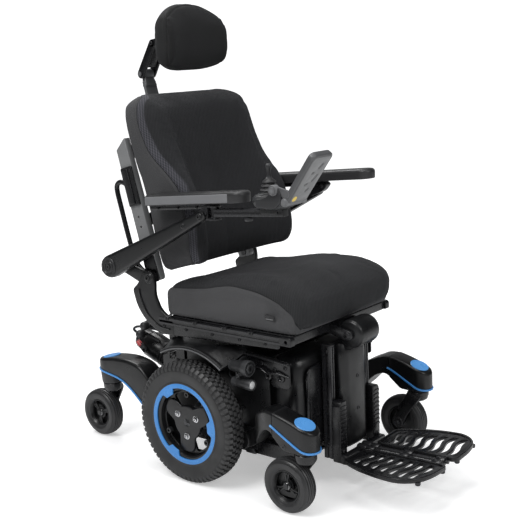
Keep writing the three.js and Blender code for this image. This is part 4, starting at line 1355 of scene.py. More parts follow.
def seat_rail():
    """A slotted extrusion with a groove along its top and its outer face, over a plain web."""
    groove = [(224, 437), (242.5, 437), (242.5, 443), (240, 443.8), (240, 449), (242.5, 449.8),
        (242.5, RAIL_TOP), (237, RAIL_TOP), (236.2, 454), (231.2, 454), (230.4, RAIL_TOP), (224, RAIL_TOP)]
    loops = [[(x, y, z) for x, z in groove] for y in (RAIL_REAR, RAIL_FRONT)]
    web = side_plate(236, rounded([(145, 405), (145, 438), (-296, 438), (-296, 424)], 4, 3), 6, (), 1.2)
    parts = [rings(loops, angle=20), web]
    cap = side_plate(233, rounded([(-340, 436, 5), (-299, 436, 2), (-299, 460, 2), (-334, 461, 8),
        (-340, 456, 5)], 0, 4), 20, [circle(4.5, (-322, 448), 16)], 2.2, 3)
    parts.append(cap)
    for y in (112, 3, -108, -203):
        clip = side_plate(234, rectangle(y - 8, 452, y + 8, 461.5, 2.4, 3), 22, (), 1)
        parts.append(clip)
        parts.append(bolt(3.6, 2.6, shift(245, y, 456)))
    for y in (126, 40, -60, -160, -250):
        parts.append(bolt(4.4, 3, shift(240.5, y, 432)))
    return joined(parts)


def rear_bracket():
    """The curved shell that carries the back, with a slim arm out to the armrest's pivot."""
    shell = rounded([(88, 407, 3), (150, 407, 30), (206, 440, 40), (236, 480, 20), (250, 528, 10),
        (226, 548, 16), (200, 588, 16), (164, 590, 16), (156, 556, 18), (160, 520, 24), (140, 478, 30),
        (110, 460, 12), (88, 458, 3)], 0, 7)
    parts = [side_plate(233.5, shell, 13, (), 3.4, 4)]
    crease = [(241, 104, 424), (241, 150, 430), (241, 190, 458), (241, 214, 500), (241, 222, 532)]
    parts.append(swept(smooth_path(crease), box_section(5, 5, 2)))
    arm = rounded([(186, 552, 10), (214, 548, 20), (300, 580, 18), (322, 598, 16), (300, 617, 16),
        (262, 604, 20), (186, 584, 10)], 0, 6)
    parts.append(side_plate(232, arm, 9, (), 2.2, 3))
    parts.append(turned(bar_profile(10, 228, 284), "X", (0, 300, 598), 24))
    parts.append(turned([(0, 192), (9, 192), (9, 218), (17, 219), (17, 240), (14, 243), (0, 243)], "X",
        (0, RECLINE.y, RECLINE.z), 32))
    parts.append(bolt(9, 5, shift(242.5, RECLINE.y, RECLINE.z)))
    lug = side_plate(211.2, rounded([(92, 440), (92, 379, 16), (128, 379, 16), (128, 440)], 3, 8), 21,
        [circle(8.3, (110, 395), 28)], 1.5)
    parts.append(lug)
    bridge = side_plate(216, rectangle(94, 409, 126, 436, 3, 3), 34, (), 1.5)
    parts.append(bridge)
    return joined(parts)


def seat_pan():
    """The pressed pan under the cushion with its cross tubes, knee lugs and actuator lugs."""
    pan = plate(rectangle(-229, -332, 229, 108, 14, 5), 6, [rectangle(a - 26, b - 9, a + 26, b + 9, 9,
        5) for a in (-120, 0, 120) for b in (-230, -150)], 1.5)
    parts = [moved(pan, shift(0, 0, 460))]
    for y, z, r in ((70, 434, 14), (-40, 437, 12)):
        parts.append(turned(bar_profile(r, -226, 226), "X", (0, y, z), 28))
    front = front_plate(-328, rectangle(-228, 436, 228, 461, 8, 5), 12, (), 3, 3)
    parts.append(front)
    for sign in (-1, 1):
        knee = side_plate(54.5 * sign, rounded([(-318, 458, 6), (-366, 452, 12), (-408, 442, 17),
            (-408, 420, 17), (-380, 416, 17), (-318, 436, 8)], 0, 6), 11, (), 2)
        parts.append(knee)
        lug = side_plate(19 * sign, rounded([(-52, 440), (-52, 394, 12), (-28, 394, 12), (-28, 440)], 2, 6),
            6, (), 1)
        parts.append(lug)
        parts.append(bolt(11, 5, side_matrix(sign) @ shift(60, -392, 432)))
    parts.append(turned(bar_profile(8, -55, 55), "X", (0, -392, 432), 24))
    parts.append(turned(bar_profile(6, -23, 23), "X", (0, -40, 405), 20))
    return joined(parts)


add_object("seat_pan", seat_pan(), SATIN, "seat", ("seat_frame",))
pair("seat_rail", seat_rail(), SATIN, "seat")
pair("rear_bracket", rear_bracket(), BLACK, "seat")
dress("tilt_tube", SATIN)
dress("tilt_rod", STEEL)


# ---------------------------------------------------------------- back frame and headrest hardware
def lean(mesh):
    """A mesh drawn upright, leant back with the seat's back."""
    return moved(mesh, LEAN_MATRIX)


def cane():
    """A grey back cane with a cut top, bored for the hinge and for its screws."""
    shape = rounded([(-25, -14, 12), (25, -14, 12), (25, 386, 2), (-20, 414, 5), (-25, 120, 40)], 0, 5)
    holes = [circle(9.3, (0, 0), 28)] + [circle(3.2, (2, s), 14) for s in (60, 90, 150, 180)]
    return lean(side_plate(205, shape, 23, holes, 2.4, 3))


def cane_insert():
    """The black clamp on the outer face of the cane, with a raised spine."""
    shape = rounded([(-24, 214, 5), (22, 214, 5), (22, 330, 5), (-24, 330, 5)], 0, 4)
    parts = [side_plate(219.5, shape, 7, (), 2, 3)]
    spine = rectangle(-8, 220, 14, 324, 3, 3)
    parts.append(side_plate(224.5, spine, 5, (), 1.6, 2))
    for s in (226, 318):
        parts.append(bolt(4, 3, shift(223, -17, s)))
    foot = rounded([(-26, -16, 14), (26, -16, 14), (24, 60, 10), (-20, 66, 10)], 0, 5)
    parts.append(side_plate(218.5, foot, 4, [circle(10, (0, 0), 24)], 1.2))
    return lean(joined(parts))


def back_tube():
    """The bent tube behind a cane that the arm's bracket hangs on."""
    spots = [(206, 262, 818), (206, 288, 838), (206, 312, 838), (206, 322, 818), (206, 308, 758),
        (206, 284, 668), (206, 262, 606), (206, 236, 580), (206, 206, 566)]
    return tube(spots, 7.5, 8, 16)


def cross_members():
    """Pressed cross members and the receiver of the headrest post."""
    parts = []
    for low, high in ((150, 186), (352, 392)):
        bar = front_plate(-13, rectangle(-196, low, 196, high, 6, 4), 21, [circle(5, (x, (low + high) / 2),
            18) for x in (-150, -90, 90, 150)], 3, 3)
        parts.append(bar)
    slot = rectangle(-30.6, 32.4, 30.6, 43.6, 2, 3)
    block = plate(rectangle(-41, -14, 41, 51, 6, 5), 82, [slot], 2)
    parts.append(moved(block, shift(0, 0, 381)))
    for s in (360, 400):
        knob = [(0, 0), (13, 0), (14, 2), (14, 10), (12, 13), (0, 13)]
        made = turned(knob, "X", sides=10, angle=20)
        parts.append(moved(made, shift(0, 50, s) @ turn(math.pi / 2, "Z")))
    return lean(joined(parts))


def headrest_post():
    """A flat bar with a row of holes, ending in the lower half of a hinge clamp."""
    bar = front_plate(38, rectangle(-25, 240, 25, 590, 5, 4), 10, [circle(3, (0, s), 12) for s in range(260,
        560, 20)], 1.4)
    parts = [bar]
    grip = front_plate(38, rounded([(-25, 572), (25, 572), (17, 606), (-17, 606)], 4, 4), 16, (), 3, 3)
    parts.append(grip)
    eye = [(0, -17), (14, -17), (15, -15), (15, 15), (14, 17), (0, 17)]
    parts.append(turned(eye, "X", (0, 38, 612), 32))
    parts.append(turned(bar_profile(7, -33, 33), "X", (0, 38, 612), 20))
    return lean(joined(parts))


HEAD_PIVOT = leaning(0, 38, 612)
PAD_PIVOT = Vector((0, 262, 1248))


def link_plate(a, b, ra, rb):
    """Two circles joined by their outer tangents, as (y, z) points."""
    run = math.atan2(b[1] - a[1], b[0] - a[0])
    spread = math.acos((ra - rb) / math.hypot(b[0] - a[0], b[1] - a[1]))
    points = []
    for centre, radius, start, end in ((a, ra, run + spread, run - spread + 2 * math.pi),
            (b, rb, run - spread, run + spread)):
        for k in range(13):
            angle = start + (end - start) * k / 12
            points.append((centre[0] + radius * math.cos(angle), centre[1] + radius * math.sin(angle)))
    return points


def headrest_link():
    """A broad flat arm with cheeks and bolts at both ends."""
    elbow = Vector((0, 318, 1240))
    lower = link_plate((HEAD_PIVOT.y, HEAD_PIVOT.z), (elbow.y, elbow.z), 14, 12)
    upper = link_plate((elbow.y, elbow.z), (PAD_PIVOT.y, PAD_PIVOT.z), 12, 11)
    parts = []
    for sign in (-1, 1):
        for shape in (lower, upper):
            parts.append(side_plate(24 * sign, shape, 7.6, (), 1.6))
        parts.append(bolt(8, 5, side_matrix(sign) @ shift(28, HEAD_PIVOT.y, HEAD_PIVOT.z)))
        parts.append(bolt(6, 4, side_matrix(sign) @ shift(28, elbow.y, elbow.z)))
    run = elbow - HEAD_PIVOT
    loops = []
    for share in (0.24, 0.27, 0.5, 0.75, 1.0, 1.06):
        spot = HEAD_PIVOT + run * share
        wide, thick = 27.6 - 2 * share, 8.5 if 0.25 < share < 1.05 else 6
        across = run.normalized().cross(Vector((1, 0, 0)))
        shape = rectangle(-wide, -thick, wide, thick, 4, 3)
        loops.append([spot + Vector((a, 0, 0)) + across * b for a, b in shape])
    parts.append(rings(loops, angle=30))
    parts.append(turned(bar_profile(7, -26, 26), "X", PAD_PIVOT, 20))
    return joined(parts)


def pad_mount():
    """The ball-joint socket and plate on the back of the headrest pad."""
    shape = rectangle(-34, 1216, 34, 1284, 14, 6)
    parts = [front_plate(236, shape, 6, (), 2)]
    ear = link_plate((PAD_PIVOT.y, PAD_PIVOT.z), (238, PAD_PIVOT.z), 12.5, 12.5)
    parts.append(side_plate(0, ear, 24, [circle(7.3, (PAD_PIVOT.y, PAD_PIVOT.z), 20)], 1.5))
    for x, z in ((-24, 1226), (24, 1226), (-24, 1274), (24, 1274)):
        parts.append(bolt(4, 3, shift(x, 239, z) @ turn(math.pi / 2, "Z")))
    return joined(parts)


pair("cane", cane(), GREY, "back")
pair("cane_insert", cane_insert(), SATIN, "back")
pair("back_tube", back_tube(), SATIN, "back")
add_object("cross_members", cross_members(), SATIN, "back", ("back_frame",))
dress("back_shell", BLACK, 0.8)
add_object("headrest_post", headrest_post(), GRAPHITE, "headrest_post", ("headrest_post",))
add_object("headrest_link", headrest_link(), SATIN, "headrest_link", ("headrest_link",))
add_object("pad_mount", pad_mount(), SATIN, "headrest_pad")


# ---------------------------------------------------------------- arms
ARM_PIVOT = Vector((264, 300, 598))
ARM_TIP = Vector((264, -75, 773))
PAD_SLOPE = 0.08


def pad_underside(y):
    """The height of the arm pad's underside at y."""
    return 799 - PAD_SLOPE * y


def arm_tube():
    """A flattened tube that tapers to its tip, with an end cap and bolts."""
    run = ARM_TIP - ARM_PIVOT
    length = run.length
    ahead = run.normalized()
    above = Vector((1, 0, 0)).cross(ahead) * -1
    if above.z < 0:
        above = -above
    loops = []
    reach = [(-34 + 34 * (1 - math.cos(a)), math.sin(a)) for a in [k * math.pi / 20 for k in range(1, 11)]]
    spots = [(along, 34 * share) for along, share in reach]
    spots += [(length * k / 16, 34 - 20 * k / 16) for k in range(1, 17)]
    spots += [(length + 14 * math.sin(a), 14 * math.cos(a)) for a in [k * math.pi / 16 for k in range(1,
        8)]]
    for along, half in spots:
        half = max(half, 2)
        taper = 1 - 0.22 * max(0, along) / length
        wide = 18.5 * taper
        shape = rectangle(-wide, -half, wide, half, 11 * taper, 6)
        loops.append([ARM_PIVOT + ahead * along + Vector((a, 0, 0)) + above * b for a, b in shape])
    parts = [rings(loops, angle=42)]
    cap = [(0, 15), (29, 15), (30, 17), (30, 19.4), (28.4, 20.6), (22, 20.6), (21, 19.6), (19, 19.6),
        (18, 20.8), (12, 21), (11.4, 19.8), (8.6, 19.8), (8, 22), (3.4, 22), (3.4, 19), (0, 19)]
    parts.append(moved(turned(cap, "X", sides=56), shift(*ARM_PIVOT)))
    for back_by, radius in ((4, 7), (74, 4.6)):
        spot = ARM_TIP - ahead * back_by
        parts.append(moved(turned([(0, 12), (radius + 3, 12), (radius + 3, 15.4), (radius + 2, 16.2),
            (0, 16.2)], "X", sides=28), shift(*spot)))
        parts.append(bolt(radius, 3.4, shift(spot.x + 16, spot.y, spot.z)))
    return joined(parts, 34)


def arm_rail():
    """The grooved rail under the pad, the link down to the tube, and its bolts."""
    section_shape = [(-12, -14), (12, -14), (13, -12), (13, -8), (11.4, -7.4), (11.4, -5), (13, -4.4),
        (13, -0.4), (-13, -0.4), (-13, -4.4), (-11.4, -5), (-11.4, -7.4), (-13, -8), (-13, -12)]
    loops = []
    for y in (128, -90):
        loops.append([(250 + a, y, pad_underside(y) + b) for a, b in section_shape])
    parts = [rings(loops, angle=20)]
    link = [(264, -70, 775), (262, -78, 783), (258, -84, 788)]
    parts.append(swept(link, box_section(22, 22, 5)))
    for y in (96, 20, -50):
        parts.append(bolt(4, 3, shift(263, y, pad_underside(y) - 9)))
    return joined(parts)


def joystick_clevis():
    """The two tongues that the joystick's mount turns between."""
    parts = []
    for z in (765.5, 800.5):
        tongue = plate(rounded([(241, -84), (241, -124), (269, -124), (269, -84)], 11, 6), 7,
            [circle(5, (255, -110), 20)], 1.2)
        parts.append(moved(tongue, shift(0, 0, z)))
    web = side_plate(255, rectangle(-94, 763, -80, 803, 3, 3), 28, (), 1)
    parts.append(web)
    return joined(parts)


def arm_nose():
    """The rounded end bracket of the arm that carries no joystick."""
    shape = rounded([(-62, 757, 6), (-108, 776, 14), (-124, 797, 12), (-112, 806, 6), (-78, 804, 4),
        (-56, 786, 6)], 0, 6)
    return joined([
        side_plate(257, shape, 26, (), 4, 4),
        bolt(6, 4, mirror_x() @ shift(-244, -104, 791)),
    ])


def arm_pad(front):
    """A soft dark pad, round at both ends, with a grey strip of painted highlight along its outer side,
    where light falls on the dark skin: (pad, highlight strip).
    """
    rear, count = 139, 40
    loops = []
    for k in range(count + 1):
        share = (1 - math.cos(math.pi * k / count)) / 2
        y = rear + (front - rear) * share
        nose = max(0, 1 - (y - front) / 30)
        tail = max(0, 1 - (rear - y) / 10)
        end = max(0.02, 1 - nose**2.2) ** (1 / 2.2) * max(0.3, 1 - tail**2.2) ** (1 / 2.2)
        w, low = 31 * end, pad_underside(y) + 0.4
        high = low + 31.5 - 11 * (1 - end)
        corner = min(9, w * 0.6)
        loops.append([(250 + a, y, b) for a, b in rounded(
            [(-w + 1.5, low, 3), (w - 1.5, low, 3), (w, high - 2.5, corner), (0, high + 1.4, 60),
             (-w, high - 2.5, corner)], 0, 6)])
    # The grey strip is a painted highlight on the pad's lit outer side; it stops short of the front end.
    side = rounded([(rear - 9, pad_underside(rear - 9) + 3), (front + 46, pad_underside(front + 46) + 3),
        (front + 46, pad_underside(front + 46) + 26), (rear - 9, pad_underside(rear - 9) + 26)], 3, 4)
    highlight_strip = side_plate(279.8, side, 4, (), 1.6, 3)
    return rings(loops, angle=60), highlight_strip


pair("arm_tube", arm_tube(), BLACK, "arm_*", "arm_tube")
pair("arm_rail", arm_rail(), SATIN, "arm_*")
add_object("joystick_clevis", moved(joystick_clevis(), mirror_x()), SATIN, "arm_right")
add_object("arm_nose", arm_nose(), SATIN, "arm_left")
for side, sign in SIDES:
    body, highlight_strip = arm_pad(corners(f"arm_pad_{side}")[0].y)
    flip = side_matrix(sign)
    add_object(f"arm_pad_{side}", moved(body, flip), PAD_TOP, f"arm_{side}",
        (f"arm_pad_{side}",))
    add_object(f"arm_pad_painted_highlight_{side}", moved(highlight_strip, flip), PAD_SIDE_HIGHLIGHT, f"arm_{side}")


# ---------------------------------------------------------------- joystick and display
STICK = middle("joystick_gimbal")
DISPLAY_FOOT = Vector((-257, -380, 827))
DISPLAY_HEAD = Vector((-257, -473, 952))


def pod():
    """A rounded shell with a parting line, a collar round the gaiter, and the side arm up to the display's
    hinge.
    """
    loops = []
    left, right, front, rear = -299, -217, -365, -262
    for z, inset in ((808, 12), (810, 7), (815, 3), (826, 0.5), (826.6, 1.6), (828, 1.6), (828.6, 0),
            (836, 1), (840, 3.5), (842, 7), (843, 12)):
        plan = [(left + inset, rear - inset, 34), (right - inset, rear - inset, 34), (right - inset,
            front + inset, 22), (left + inset, front + inset, 22)]
        loops.append([(x, y, z) for x, y in evenly(rounded(plan, 0, 8), 72)])
    parts = [rings(loops, angle=30)]
    collar = [(27.4, 842), (31, 842), (31.2, 843.6), (30, 844.6), (28, 844.6), (27.4, 842)]
    parts.append(turned(collar, "Z", (STICK.x, STICK.y, 0), 48))
    sweep = rounded([(-290, 814, 6), (-350, 810, 22), (-376, 836, 22), (-364, 868, 12), (-338, 872, 12),
        (-336, 848, 16), (-310, 836, 16), (-290, 836, 4)], 0, 6)
    parts.append(side_plate(-298, sweep, 11, (), 2.6, 3))
    for x in (-240, -276):
        ring = [(7.6, 842), (10.2, 842), (10.2, 843.6), (9.2, 844.2), (7.6, 843.8), (7.6, 842)]
        parts.append(turned(ring, "Z", (x, -348, 0), 32))
    return joined(parts)


def hinge_knuckle():
    """The light disc on the display's hinge."""
    disc = [(0, -311), (9, -311), (10, -309.5), (12.4, -309), (13.4, -307), (13.4, -292), (0, -292)]
    return turned(disc, "X", (0, -350, 860), 40)


def pod_floor():
    """The dark well under the gaiter."""
    return turned(bar_profile(25.9, 843.3, 842.2), "Z", (STICK.x, STICK.y, 0), 40)


def mount_arm():
    """The swing-away rail under the pod with its pivot, groove and thumb screw."""
    groove = [(-10.5, -10), (10.5, -10), (11, -8), (11, -3), (9.4, -2.4), (9.4, 2.4), (11, 3), (11, 8),
        (9, 10), (-9, 10), (-11, 8), (-11, 3), (-9.4, 2.4), (-9.4, -2.4), (-11, -3), (-11, -8)]
    loops = [[(-255 + a, y, z + b) for a, b in groove] for y, z in ((-114, 783), (-346, 798))]
    parts = [rings(loops, angle=20)]
    end = plate(rectangle(-11.4, -10.6, 11.4, 10.6, 4, 4), 5, (), 1.4)
    parts.append(moved(end, shift(-255, -347, 798) @ FACING_Y))
    pivot = [(0, 769.6), (13.4, 769.6), (13.4, 772), (12, 773), (12, 793), (13.4, 794), (13.4, 796.4),
        (0, 796.4)]
    parts.append(turned(pivot, "Z", (-255, -110, 0), 36))
    riser = side_plate(-256, rounded([(-330, 792), (-276, 789), (-276, 812), (-330, 812)], 5, 4), 24, (), 3,
        3)
    parts.append(riser)
    knob = [(0, 0), (7, 0), (11, 1), (12, 4), (12, 9), (10, 12), (0, 12)]
    lowered = shift(-255, -226, 779) @ turn(math.pi / 2, "Y")
    parts.append(moved(turned(knob, "X", sides=9, angle=24), lowered))
    return joined(parts)


def gaiter():
    """Three soft folds that narrow up to the lever."""
    z = STICK.z
    folds = [(0, z + 10.6), (5, z + 10.6), (6, z + 14.6), (16, z + 15.2), (23, z + 17), (24.4, z + 19.4),
        (23, z + 21.6), (16.6, z + 24.5), (16.4, z + 26), (20.6, z + 28), (21.4, z + 30), (20, z + 32.4),
        (14, z + 35), (13.8, z + 36.5), (17, z + 38.4), (17.8, z + 40.4), (16, z + 43), (11, z + 46.5),
        (7, z + 51), (0, z + 52)]
    return turned(folds, "Z", (STICK.x, STICK.y, 0), 48, 60)


def lever():
    """The joystick's waisted lever with its domed knob."""
    z = STICK.z
    shape = [(0, z + 50), (7, z + 50), (6.2, z + 56), (5.2, z + 64), (5.4, z + 70), (7.4, z + 75),
        (8.2, z + 79), (7.6, z + 83), (5, z + 85.6), (0, z + 86)]
    return turned(shape, "Z", (STICK.x, STICK.y, 0), 36, 50)


def display_matrix():
    """The display's own frame: its middle at the origin, x across it and y up its face."""
    up = (DISPLAY_HEAD - DISPLAY_FOOT).normalized()
    out = Vector((1, 0, 0)).cross(up)
    turned_frame = Matrix((Vector((1, 0, 0)), up, out)).transposed().to_4x4()
    return Matrix.Translation((DISPLAY_FOOT + DISPLAY_HEAD) / 2 * MM) @ turned_frame


def oval(x, y, long, wide, tilt=0.0):
    """A stadium-shaped outline."""
    c, s = math.cos(tilt), math.sin(tilt)
    corner_points = rectangle(-long, -wide, long, wide, wide, 6)
    return [(x + a * c - b * s, y + a * s + b * c) for a, b in corner_points]


def display():
    """(dark housing, grey underside with openings, screen and keys); local +Z is the underside."""
    half = (DISPLAY_HEAD - DISPLAY_FOOT).length / 2
    shape = rounded([(-40, -half, 12), (40, -half, 12), (43, half, 18), (-43, half, 18)], 0, 8)
    inner = rounded([(-34, -half + 7, 12), (34, -half + 7, 12), (37, half - 7, 16), (-37, half - 7, 16)], 0,
        8)
    holes = [oval(10, 42, 10, 5, 1.1), oval(-8, 22, 5, 4), oval(12, 4, 12, 5, 1.2), oval(-10, -14, 6, 4,
        0.4), oval(8, -34, 7, 4, 0.9)]
    body = moved(plate(shape, 18, (), 5, 4), shift(0, 0, -2.5))
    under = moved(plate(inner, 3.4, holes, 1.3), shift(0, 0, 6.2))
    recess = moved(plate([(a * 0.94, b * 0.94) for a, b in inner], 1.2, (), 0.3), shift(0, 0, 6.2))
    frame_top = moved(plate(inner, 2.2, (), 0.8), shift(0, 0, -11.4))
    screen = moved(plate(rounded([(-28, 4), (28, 4), (30, 60), (-30, 60)], 5, 4), 1, (), 0.3),
        shift(0, 0, -12.6))
    keys = []
    for x, y, r in ((-22, -16, 6), (0, -16, 6), (22, -16, 6), (-22, -36, 6), (0, -36, 8), (22, -36, 6),
            (-12, -56, 5), (12, -56, 5)):
        key = [(0, -12.2), (r, -12.2), (r, -14), (r - 1.2, -15), (0, -14.6)]
        keys.append(turned(key, "Z", (x, y, 0), 28))
    barrel = [(0, -44), (8, -44), (11, -41), (11, 40), (8, 43), (0, 43)]
    knuckle = turned(barrel, "X", (0, -half + 2, -3), 32)
    place = display_matrix()
    ear = side_plate(-295.5, link_plate((-350, 860), (-384, 852), 11, 11), 7, (), 1.5)
    dot = turned([(0, 7), (8, 7), (8, 8.6), (7, 9.2), (0, 9.2)], "Z", (-24, -half + 20, 0), 32)
    housing = joined([moved(mesh, place) for mesh in (body, recess, frame_top, knuckle)] + [ear])
    return {
        "display_body": (housing, GRAPHITE),
        "display_under": (moved(under, place), GREY),
        "display_screen": (moved(screen, place), SCREEN),
        "display_keys": (moved(joined(keys), place), CLEAR_GREY),
        "display_dot": (moved(dot, place), YELLOW),
    }


add_object("joystick_pod", pod(), DARK, "joystick", ("joystick_pod",))
add_object("hinge_knuckle", hinge_knuckle(), GRAPHITE, "joystick")
add_object("joystick_well", pod_floor(), BELLOWS, "joystick")
add_object("joystick_mount", mount_arm(), SATIN, "joystick", ("joystick_mount",))
add_object("joystick_gaiter", gaiter(), BELLOWS, "joystick_stick", ("joystick_stick",))
add_object("joystick_lever", lever(), DARK, "joystick_stick")
for piece, (mesh, material) in display().items():
    stands_for = ("joystick_display",) if piece == "display_body" else ()
    add_object(piece, mesh, material, "joystick_display", stands_for)
dress("joystick_gimbal", STEEL, 0.4)
for node in ("power_button", "horn_button"):
    dress(node, CLEAR_GREY, 0.8)


# ---------------------------------------------------------------- legrest
KNEE = Vector((0, -392, 432))


def legrest_cover():
    """The tall moulded front cover: crowned, with soft vertical edges and a rolled top."""
    loops = []
    for z, grow in ((100, -5), (103, -2), (110, 0), (160, 0), (250, 0.5), (340, 0), (372, -1), (392, -4),
            (402, -9)):
        plan = [(-62 - grow, -338), (-62 - grow, -368 - grow, 12), (-44, -380 - grow, 22),
            (0, -383 - grow, 200), (44, -380 - grow, 22), (62 + grow, -368 - grow, 12), (62 + grow, -338)]
        loops.append([(x, y, z) for x, y in evenly(rounded(plan, 0, 7), 80)])
    return rings(loops, angle=36)


def legrest_plugs():
    """Two small plugs in the front cover."""
    parts = []
    for z in (300, 205):
        plug = [(0, -1), (5.2, -1), (5.2, 1), (4.6, 1.5), (3.8, 1.3), (3.2, 0.2), (0, 0.2)]
        parts.append(moved(turned(plug, "X", sides=20), shift(2, -383, z) @ turn(-math.pi / 2, "Z")))
    return joined(parts)


def knee_cover():
    """The round cover over the knee hinge, with a skirt that runs down into the front cover."""
    profile = [(0, -47), (32, -47), (39, -43), (40.5, -36), (41, 0), (40.5, 36), (39, 43), (32, 47),
        (0, 47)]
    parts = [turned(profile, "X", KNEE, 56, 50)]
    skirt = rounded([(-432, 428, 10), (-420, 404, 20), (-386, 384, 10), (-344, 384, 4), (-356, 424, 10)], 0,
        6)
    parts.append(side_plate(0, skirt, 90, (), 5, 4))
    return joined(parts, 50)


def legrest_rails():
    """Two grooved side rails joined at the top and the bottom, with their screws."""
    groove = [(78, -328), (92, -328), (93, -330), (93, -340), (90.5, -341), (90.5, -347), (93, -348),
        (93, -358), (92, -360), (87, -360), (86.4, -357.4), (82.6, -357.4), (82, -360), (78, -360),
        (77, -358), (77, -330)]
    parts = []
    for sign in (-1, 1):
        loops = [[(x * sign, y, z) for x, y in groove] for z in (76.5, 404)]
        parts.append(rings(loops, angle=20))
        cap = plate(rectangle(75, -326, 95, -362, 4, 4), 6, (), 1.6)
        parts.append(moved(cap, side_matrix(sign) @ shift(0, 0, 406)))
        for z in (388, 118):
            parts.append(bolt(6, 4, side_matrix(sign) @ shift(92, -344, z)))
    for low, high in ((372, 398), (104, 130)):
        bar = front_plate(-344, rectangle(-88, low, 88, high, 4, 4), 15, (), 2.4)
        parts.append(bar)
    return joined(parts)


def carrier():
    """Ribbed runners, a cross bar and the two hinge rods of the footplates."""
    parts = []
    for sign in (-1, 1):
        flip = side_matrix(sign)
        runner = plate(rounded([(68, 72, 5), (100, 72, 5), (100, 240, 8), (94, 250, 6), (68, 250, 4)], 0,
            4), 28, (), 3, 3)
        parts.append(moved(runner, flip @ shift(0, -376, 0) @ FACING_Y))
        for k in range(9):
            rib = plate(rectangle(71, 0, 97, 7, 2.5, 3), 4, (), 1.2)
            parts.append(moved(rib, flip @ shift(0, -390.6, 130 + 12.5 * k) @ FACING_Y))
        parts.append(bolt(7, 4, flip @ shift(84, -390, 104) @ turn(-math.pi / 2, "Z")))
        rod = [(12, -396, 92), (12, -662, 101)]
        parts.append(moved(swept(rod, round_section(5, 18)), flip))
        boss = [(0, -15), (12, -15), (13.5, -13), (13.5, 13), (12, 15), (0, 15)]
        parts.append(moved(turned(boss, "Y", (12, -404, 92.3), 28), flip))
    bar = front_plate(-398.5, rectangle(-101, 71, 101, 99, 7, 5), 19, (), 3, 3)
    parts.append(bar)
    return joined(parts)


PLATE_RISE = math.atan2(9, 265)
PLATE_TILT = math.radians(2.4)


def footplate():
    """A tread plate with a raised rim, seven S-shaped slots, hinge knuckles and small feet."""
    outline = rounded([(24, -440, 4), (30, -424, 6), (136, -424, 16), (164, -480, 30), (184, -560, 60),
        (187, -624, 34), (152, -668, 30), (100, -680, 30), (32, -680, 8), (24, -664, 4)], 0, 8)
    slots = []
    for k in range(7):
        mid = -460 - k * 30.5
        start, end = 42, 134 + min(k, 5) * 5
        upper, lower = [], []
        for j in range(17):
            share = j / 16
            x = start + (end - start) * share
            y = mid - 6 * math.sin(2 * math.pi * share)
            width = 8.2 * min(1, 4.5 * share * (1 - share) + 0.42)
            upper.append((x, y + width))
            lower.append((x, y - width))
        slots.append(upper + lower[::-1])
    parts = [plate(outline, 10, slots, 2.2, 3)]
    centre = (104, -552)
    inner = [(centre[0] + (x - centre[0]) * 0.91, centre[1] + (y - centre[1]) * 0.95) for x, y in outline]
    parts.append(moved(plate(outline, 5, [inner], 2, 3), shift(0, 0, 5.6)))
    for y in (-432, -540, -640):
        knuckle = [(5.4, -13), (9.4, -13), (10.2, -11.5), (10.2, 11.5), (9.4, 13), (5.4, 13), (5.4, -13)]
        parts.append(turned(knuckle, "Y", (12, y, 0), 28))
        strap = plate(rectangle(14, y - 12, 40, y + 12, 3, 3), 7, (), 1.6)
        parts.append(moved(strap, shift(0, 0, -3)))
    for x, y in ((150, -662), (40, -672)):
        parts.append(turned([(0, -12), (6, -12), (7.5, -10), (7.5, -3), (0, -3)], "Z", (x, y, 0), 24))
    place = (shift(0, -395, 92) @ turn(-PLATE_RISE, "X") @ shift(0, 395, 1) @ shift(12, 0,
        0) @ turn(-PLATE_TILT, "Y") @ shift(-12, 0, 0))
    return moved(joined(parts), place)


add_object("legrest_cover", legrest_cover(), BLACK, "legrest", ("legrest_column",))
add_object("legrest_plugs", legrest_plugs(), DARK, "legrest")
add_object("knee_cover", knee_cover(), BLACK, "legrest")
add_object("legrest_rails", legrest_rails(), SATIN, "legrest")
add_object("legrest_carrier", carrier(), SATIN, "legrest_carrier", ("legrest_slider",))
pair("footplate", footplate(), SATIN, "footplate_*", "footplate")


# ---------------------------------------------------------------- stage, lights and camera
def floor():
    """A pale floor that curves up behind into a wall far away."""
    reach, radius = 14000, 3000
    side = [(-reach, 0), (reach - radius, 0)]
    side += [(reach - radius + radius * math.sin(a), radius - radius * math.cos(a)) for a
        in [k * math.pi / 24 for k in range(1, 13)]]
    side.append((reach, 9000))
    loops = [[(x, y, z) for y, z in side] for x in (-reach, reach)]
    mesh = rings(loops, closed=False, caps=False, angle=60)
    paper = Paint("studio_paper", (0.88, 0.88, 0.88), 0.6).mottle(2, 0.01)
    seen = paper.node("ShaderNodeLightPath").outputs["Is Camera Ray"]
    away = paper.node("ShaderNodeVectorMath", [(0, paper.place)], operation="LENGTH").outputs["Value"]
    glow = paper.ramp(away, from_min=1.2, from_max=3.2, to_min=0.40, to_max=0.80)
    glow = paper.node("ShaderNodeMath", [(0, seen), (1, glow)], operation="MULTIPLY")
    paper.shader.inputs["Emission Color"].default_value = (1, 1, 1, 1)
    paper.links.new(glow.outputs[0], paper.shader.inputs["Emission Strength"])
    made = bpy.data.objects.new("floor", mesh)
    made.data.materials.append(paper.material)
    made.rotation_euler.z = CAMERA_TURN
    bpy.context.scene.collection.objects.link(made)


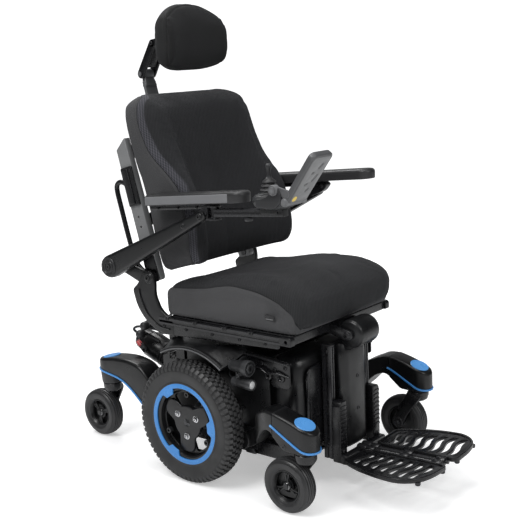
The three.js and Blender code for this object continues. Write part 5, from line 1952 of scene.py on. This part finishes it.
def studio():
    """A white backdrop for the camera, a dimmer even light, and a darker room in reflections."""
    world = bpy.data.worlds.new("studio")
    world.use_nodes = True
    nodes, links = world.node_tree.nodes, world.node_tree.links
    path = nodes.new("ShaderNodeLightPath")
    strength = 0.42
    for ray, change in (("Is Camera Ray", 0.58), ("Is Glossy Ray", -0.36)):
        step = nodes.new("ShaderNodeMath")
        step.operation = "MULTIPLY_ADD"
        links.new(path.outputs[ray], step.inputs[0])
        step.inputs[1].default_value = change
        if isinstance(strength, float):
            step.inputs[2].default_value = strength
        else:
            links.new(strength, step.inputs[2])
        strength = step.outputs[0]
    links.new(strength, nodes["Background"].inputs["Strength"])
    nodes["Background"].inputs["Color"].default_value = (0.97, 0.985, 1.0, 1)
    bpy.context.scene.world = world


def area_light(name, azimuth, elevation, distance, breadth, power):
    """A soft square lamp that looks at the middle of the object."""
    light = bpy.data.lights.new(name, "AREA")
    light.size = breadth
    light.energy = power
    made = bpy.data.objects.new(name, light)
    a, e = math.radians(azimuth), math.radians(elevation)
    away = Vector((math.sin(a) * math.cos(e), -math.cos(a) * math.cos(e), math.sin(e)))
    target = Vector((0, 0, 0.6))
    made.location = target + away * distance
    made.rotation_euler = (-away).to_track_quat("-Z", "Y").to_euler()
    bpy.context.scene.collection.objects.link(made)


CAMERA_TURN = math.radians(-50.738)
CAMERA_RISE = math.radians(11.777)
CAMERA_ROLL = math.radians(-2.470)
CAMERA_SPOT = (-2.2198, -1.8803, 1.1839)
FOCAL_LENGTH = 67.57  # on a 36 mm sensor

floor()
studio()
area_light("key", -95, 48, 3.4, 1.6, 62)
area_light("front_fill", -10, 32, 3.8, 1.8, 34)
area_light("rear_rim", 150, 48, 3.6, 1.6, 46)
area_light("overhead", -60, 85, 3.2, 1.8, 34)

camera_data = bpy.data.cameras.new("camera")
camera_data.sensor_width = 36
camera_data.lens = FOCAL_LENGTH
camera = bpy.data.objects.new("camera", camera_data)
back = Vector((
    math.sin(CAMERA_TURN) * math.cos(CAMERA_RISE),
    -math.cos(CAMERA_TURN) * math.cos(CAMERA_RISE),
    math.sin(CAMERA_RISE),
))
level_right = Vector((math.cos(CAMERA_TURN), math.sin(CAMERA_TURN), 0))
level_up = back.cross(level_right)
right = level_right * math.cos(CAMERA_ROLL) + level_up * math.sin(CAMERA_ROLL)
up = back.cross(right)
camera.matrix_world = Matrix.Translation(AXLE + Vector(CAMERA_SPOT)) @ Matrix((right, up,
    back)).transposed().to_4x4()
bpy.context.scene.collection.objects.link(camera)
bpy.context.scene.camera = camera
bpy.context.scene.view_settings.view_transform = "Standard"
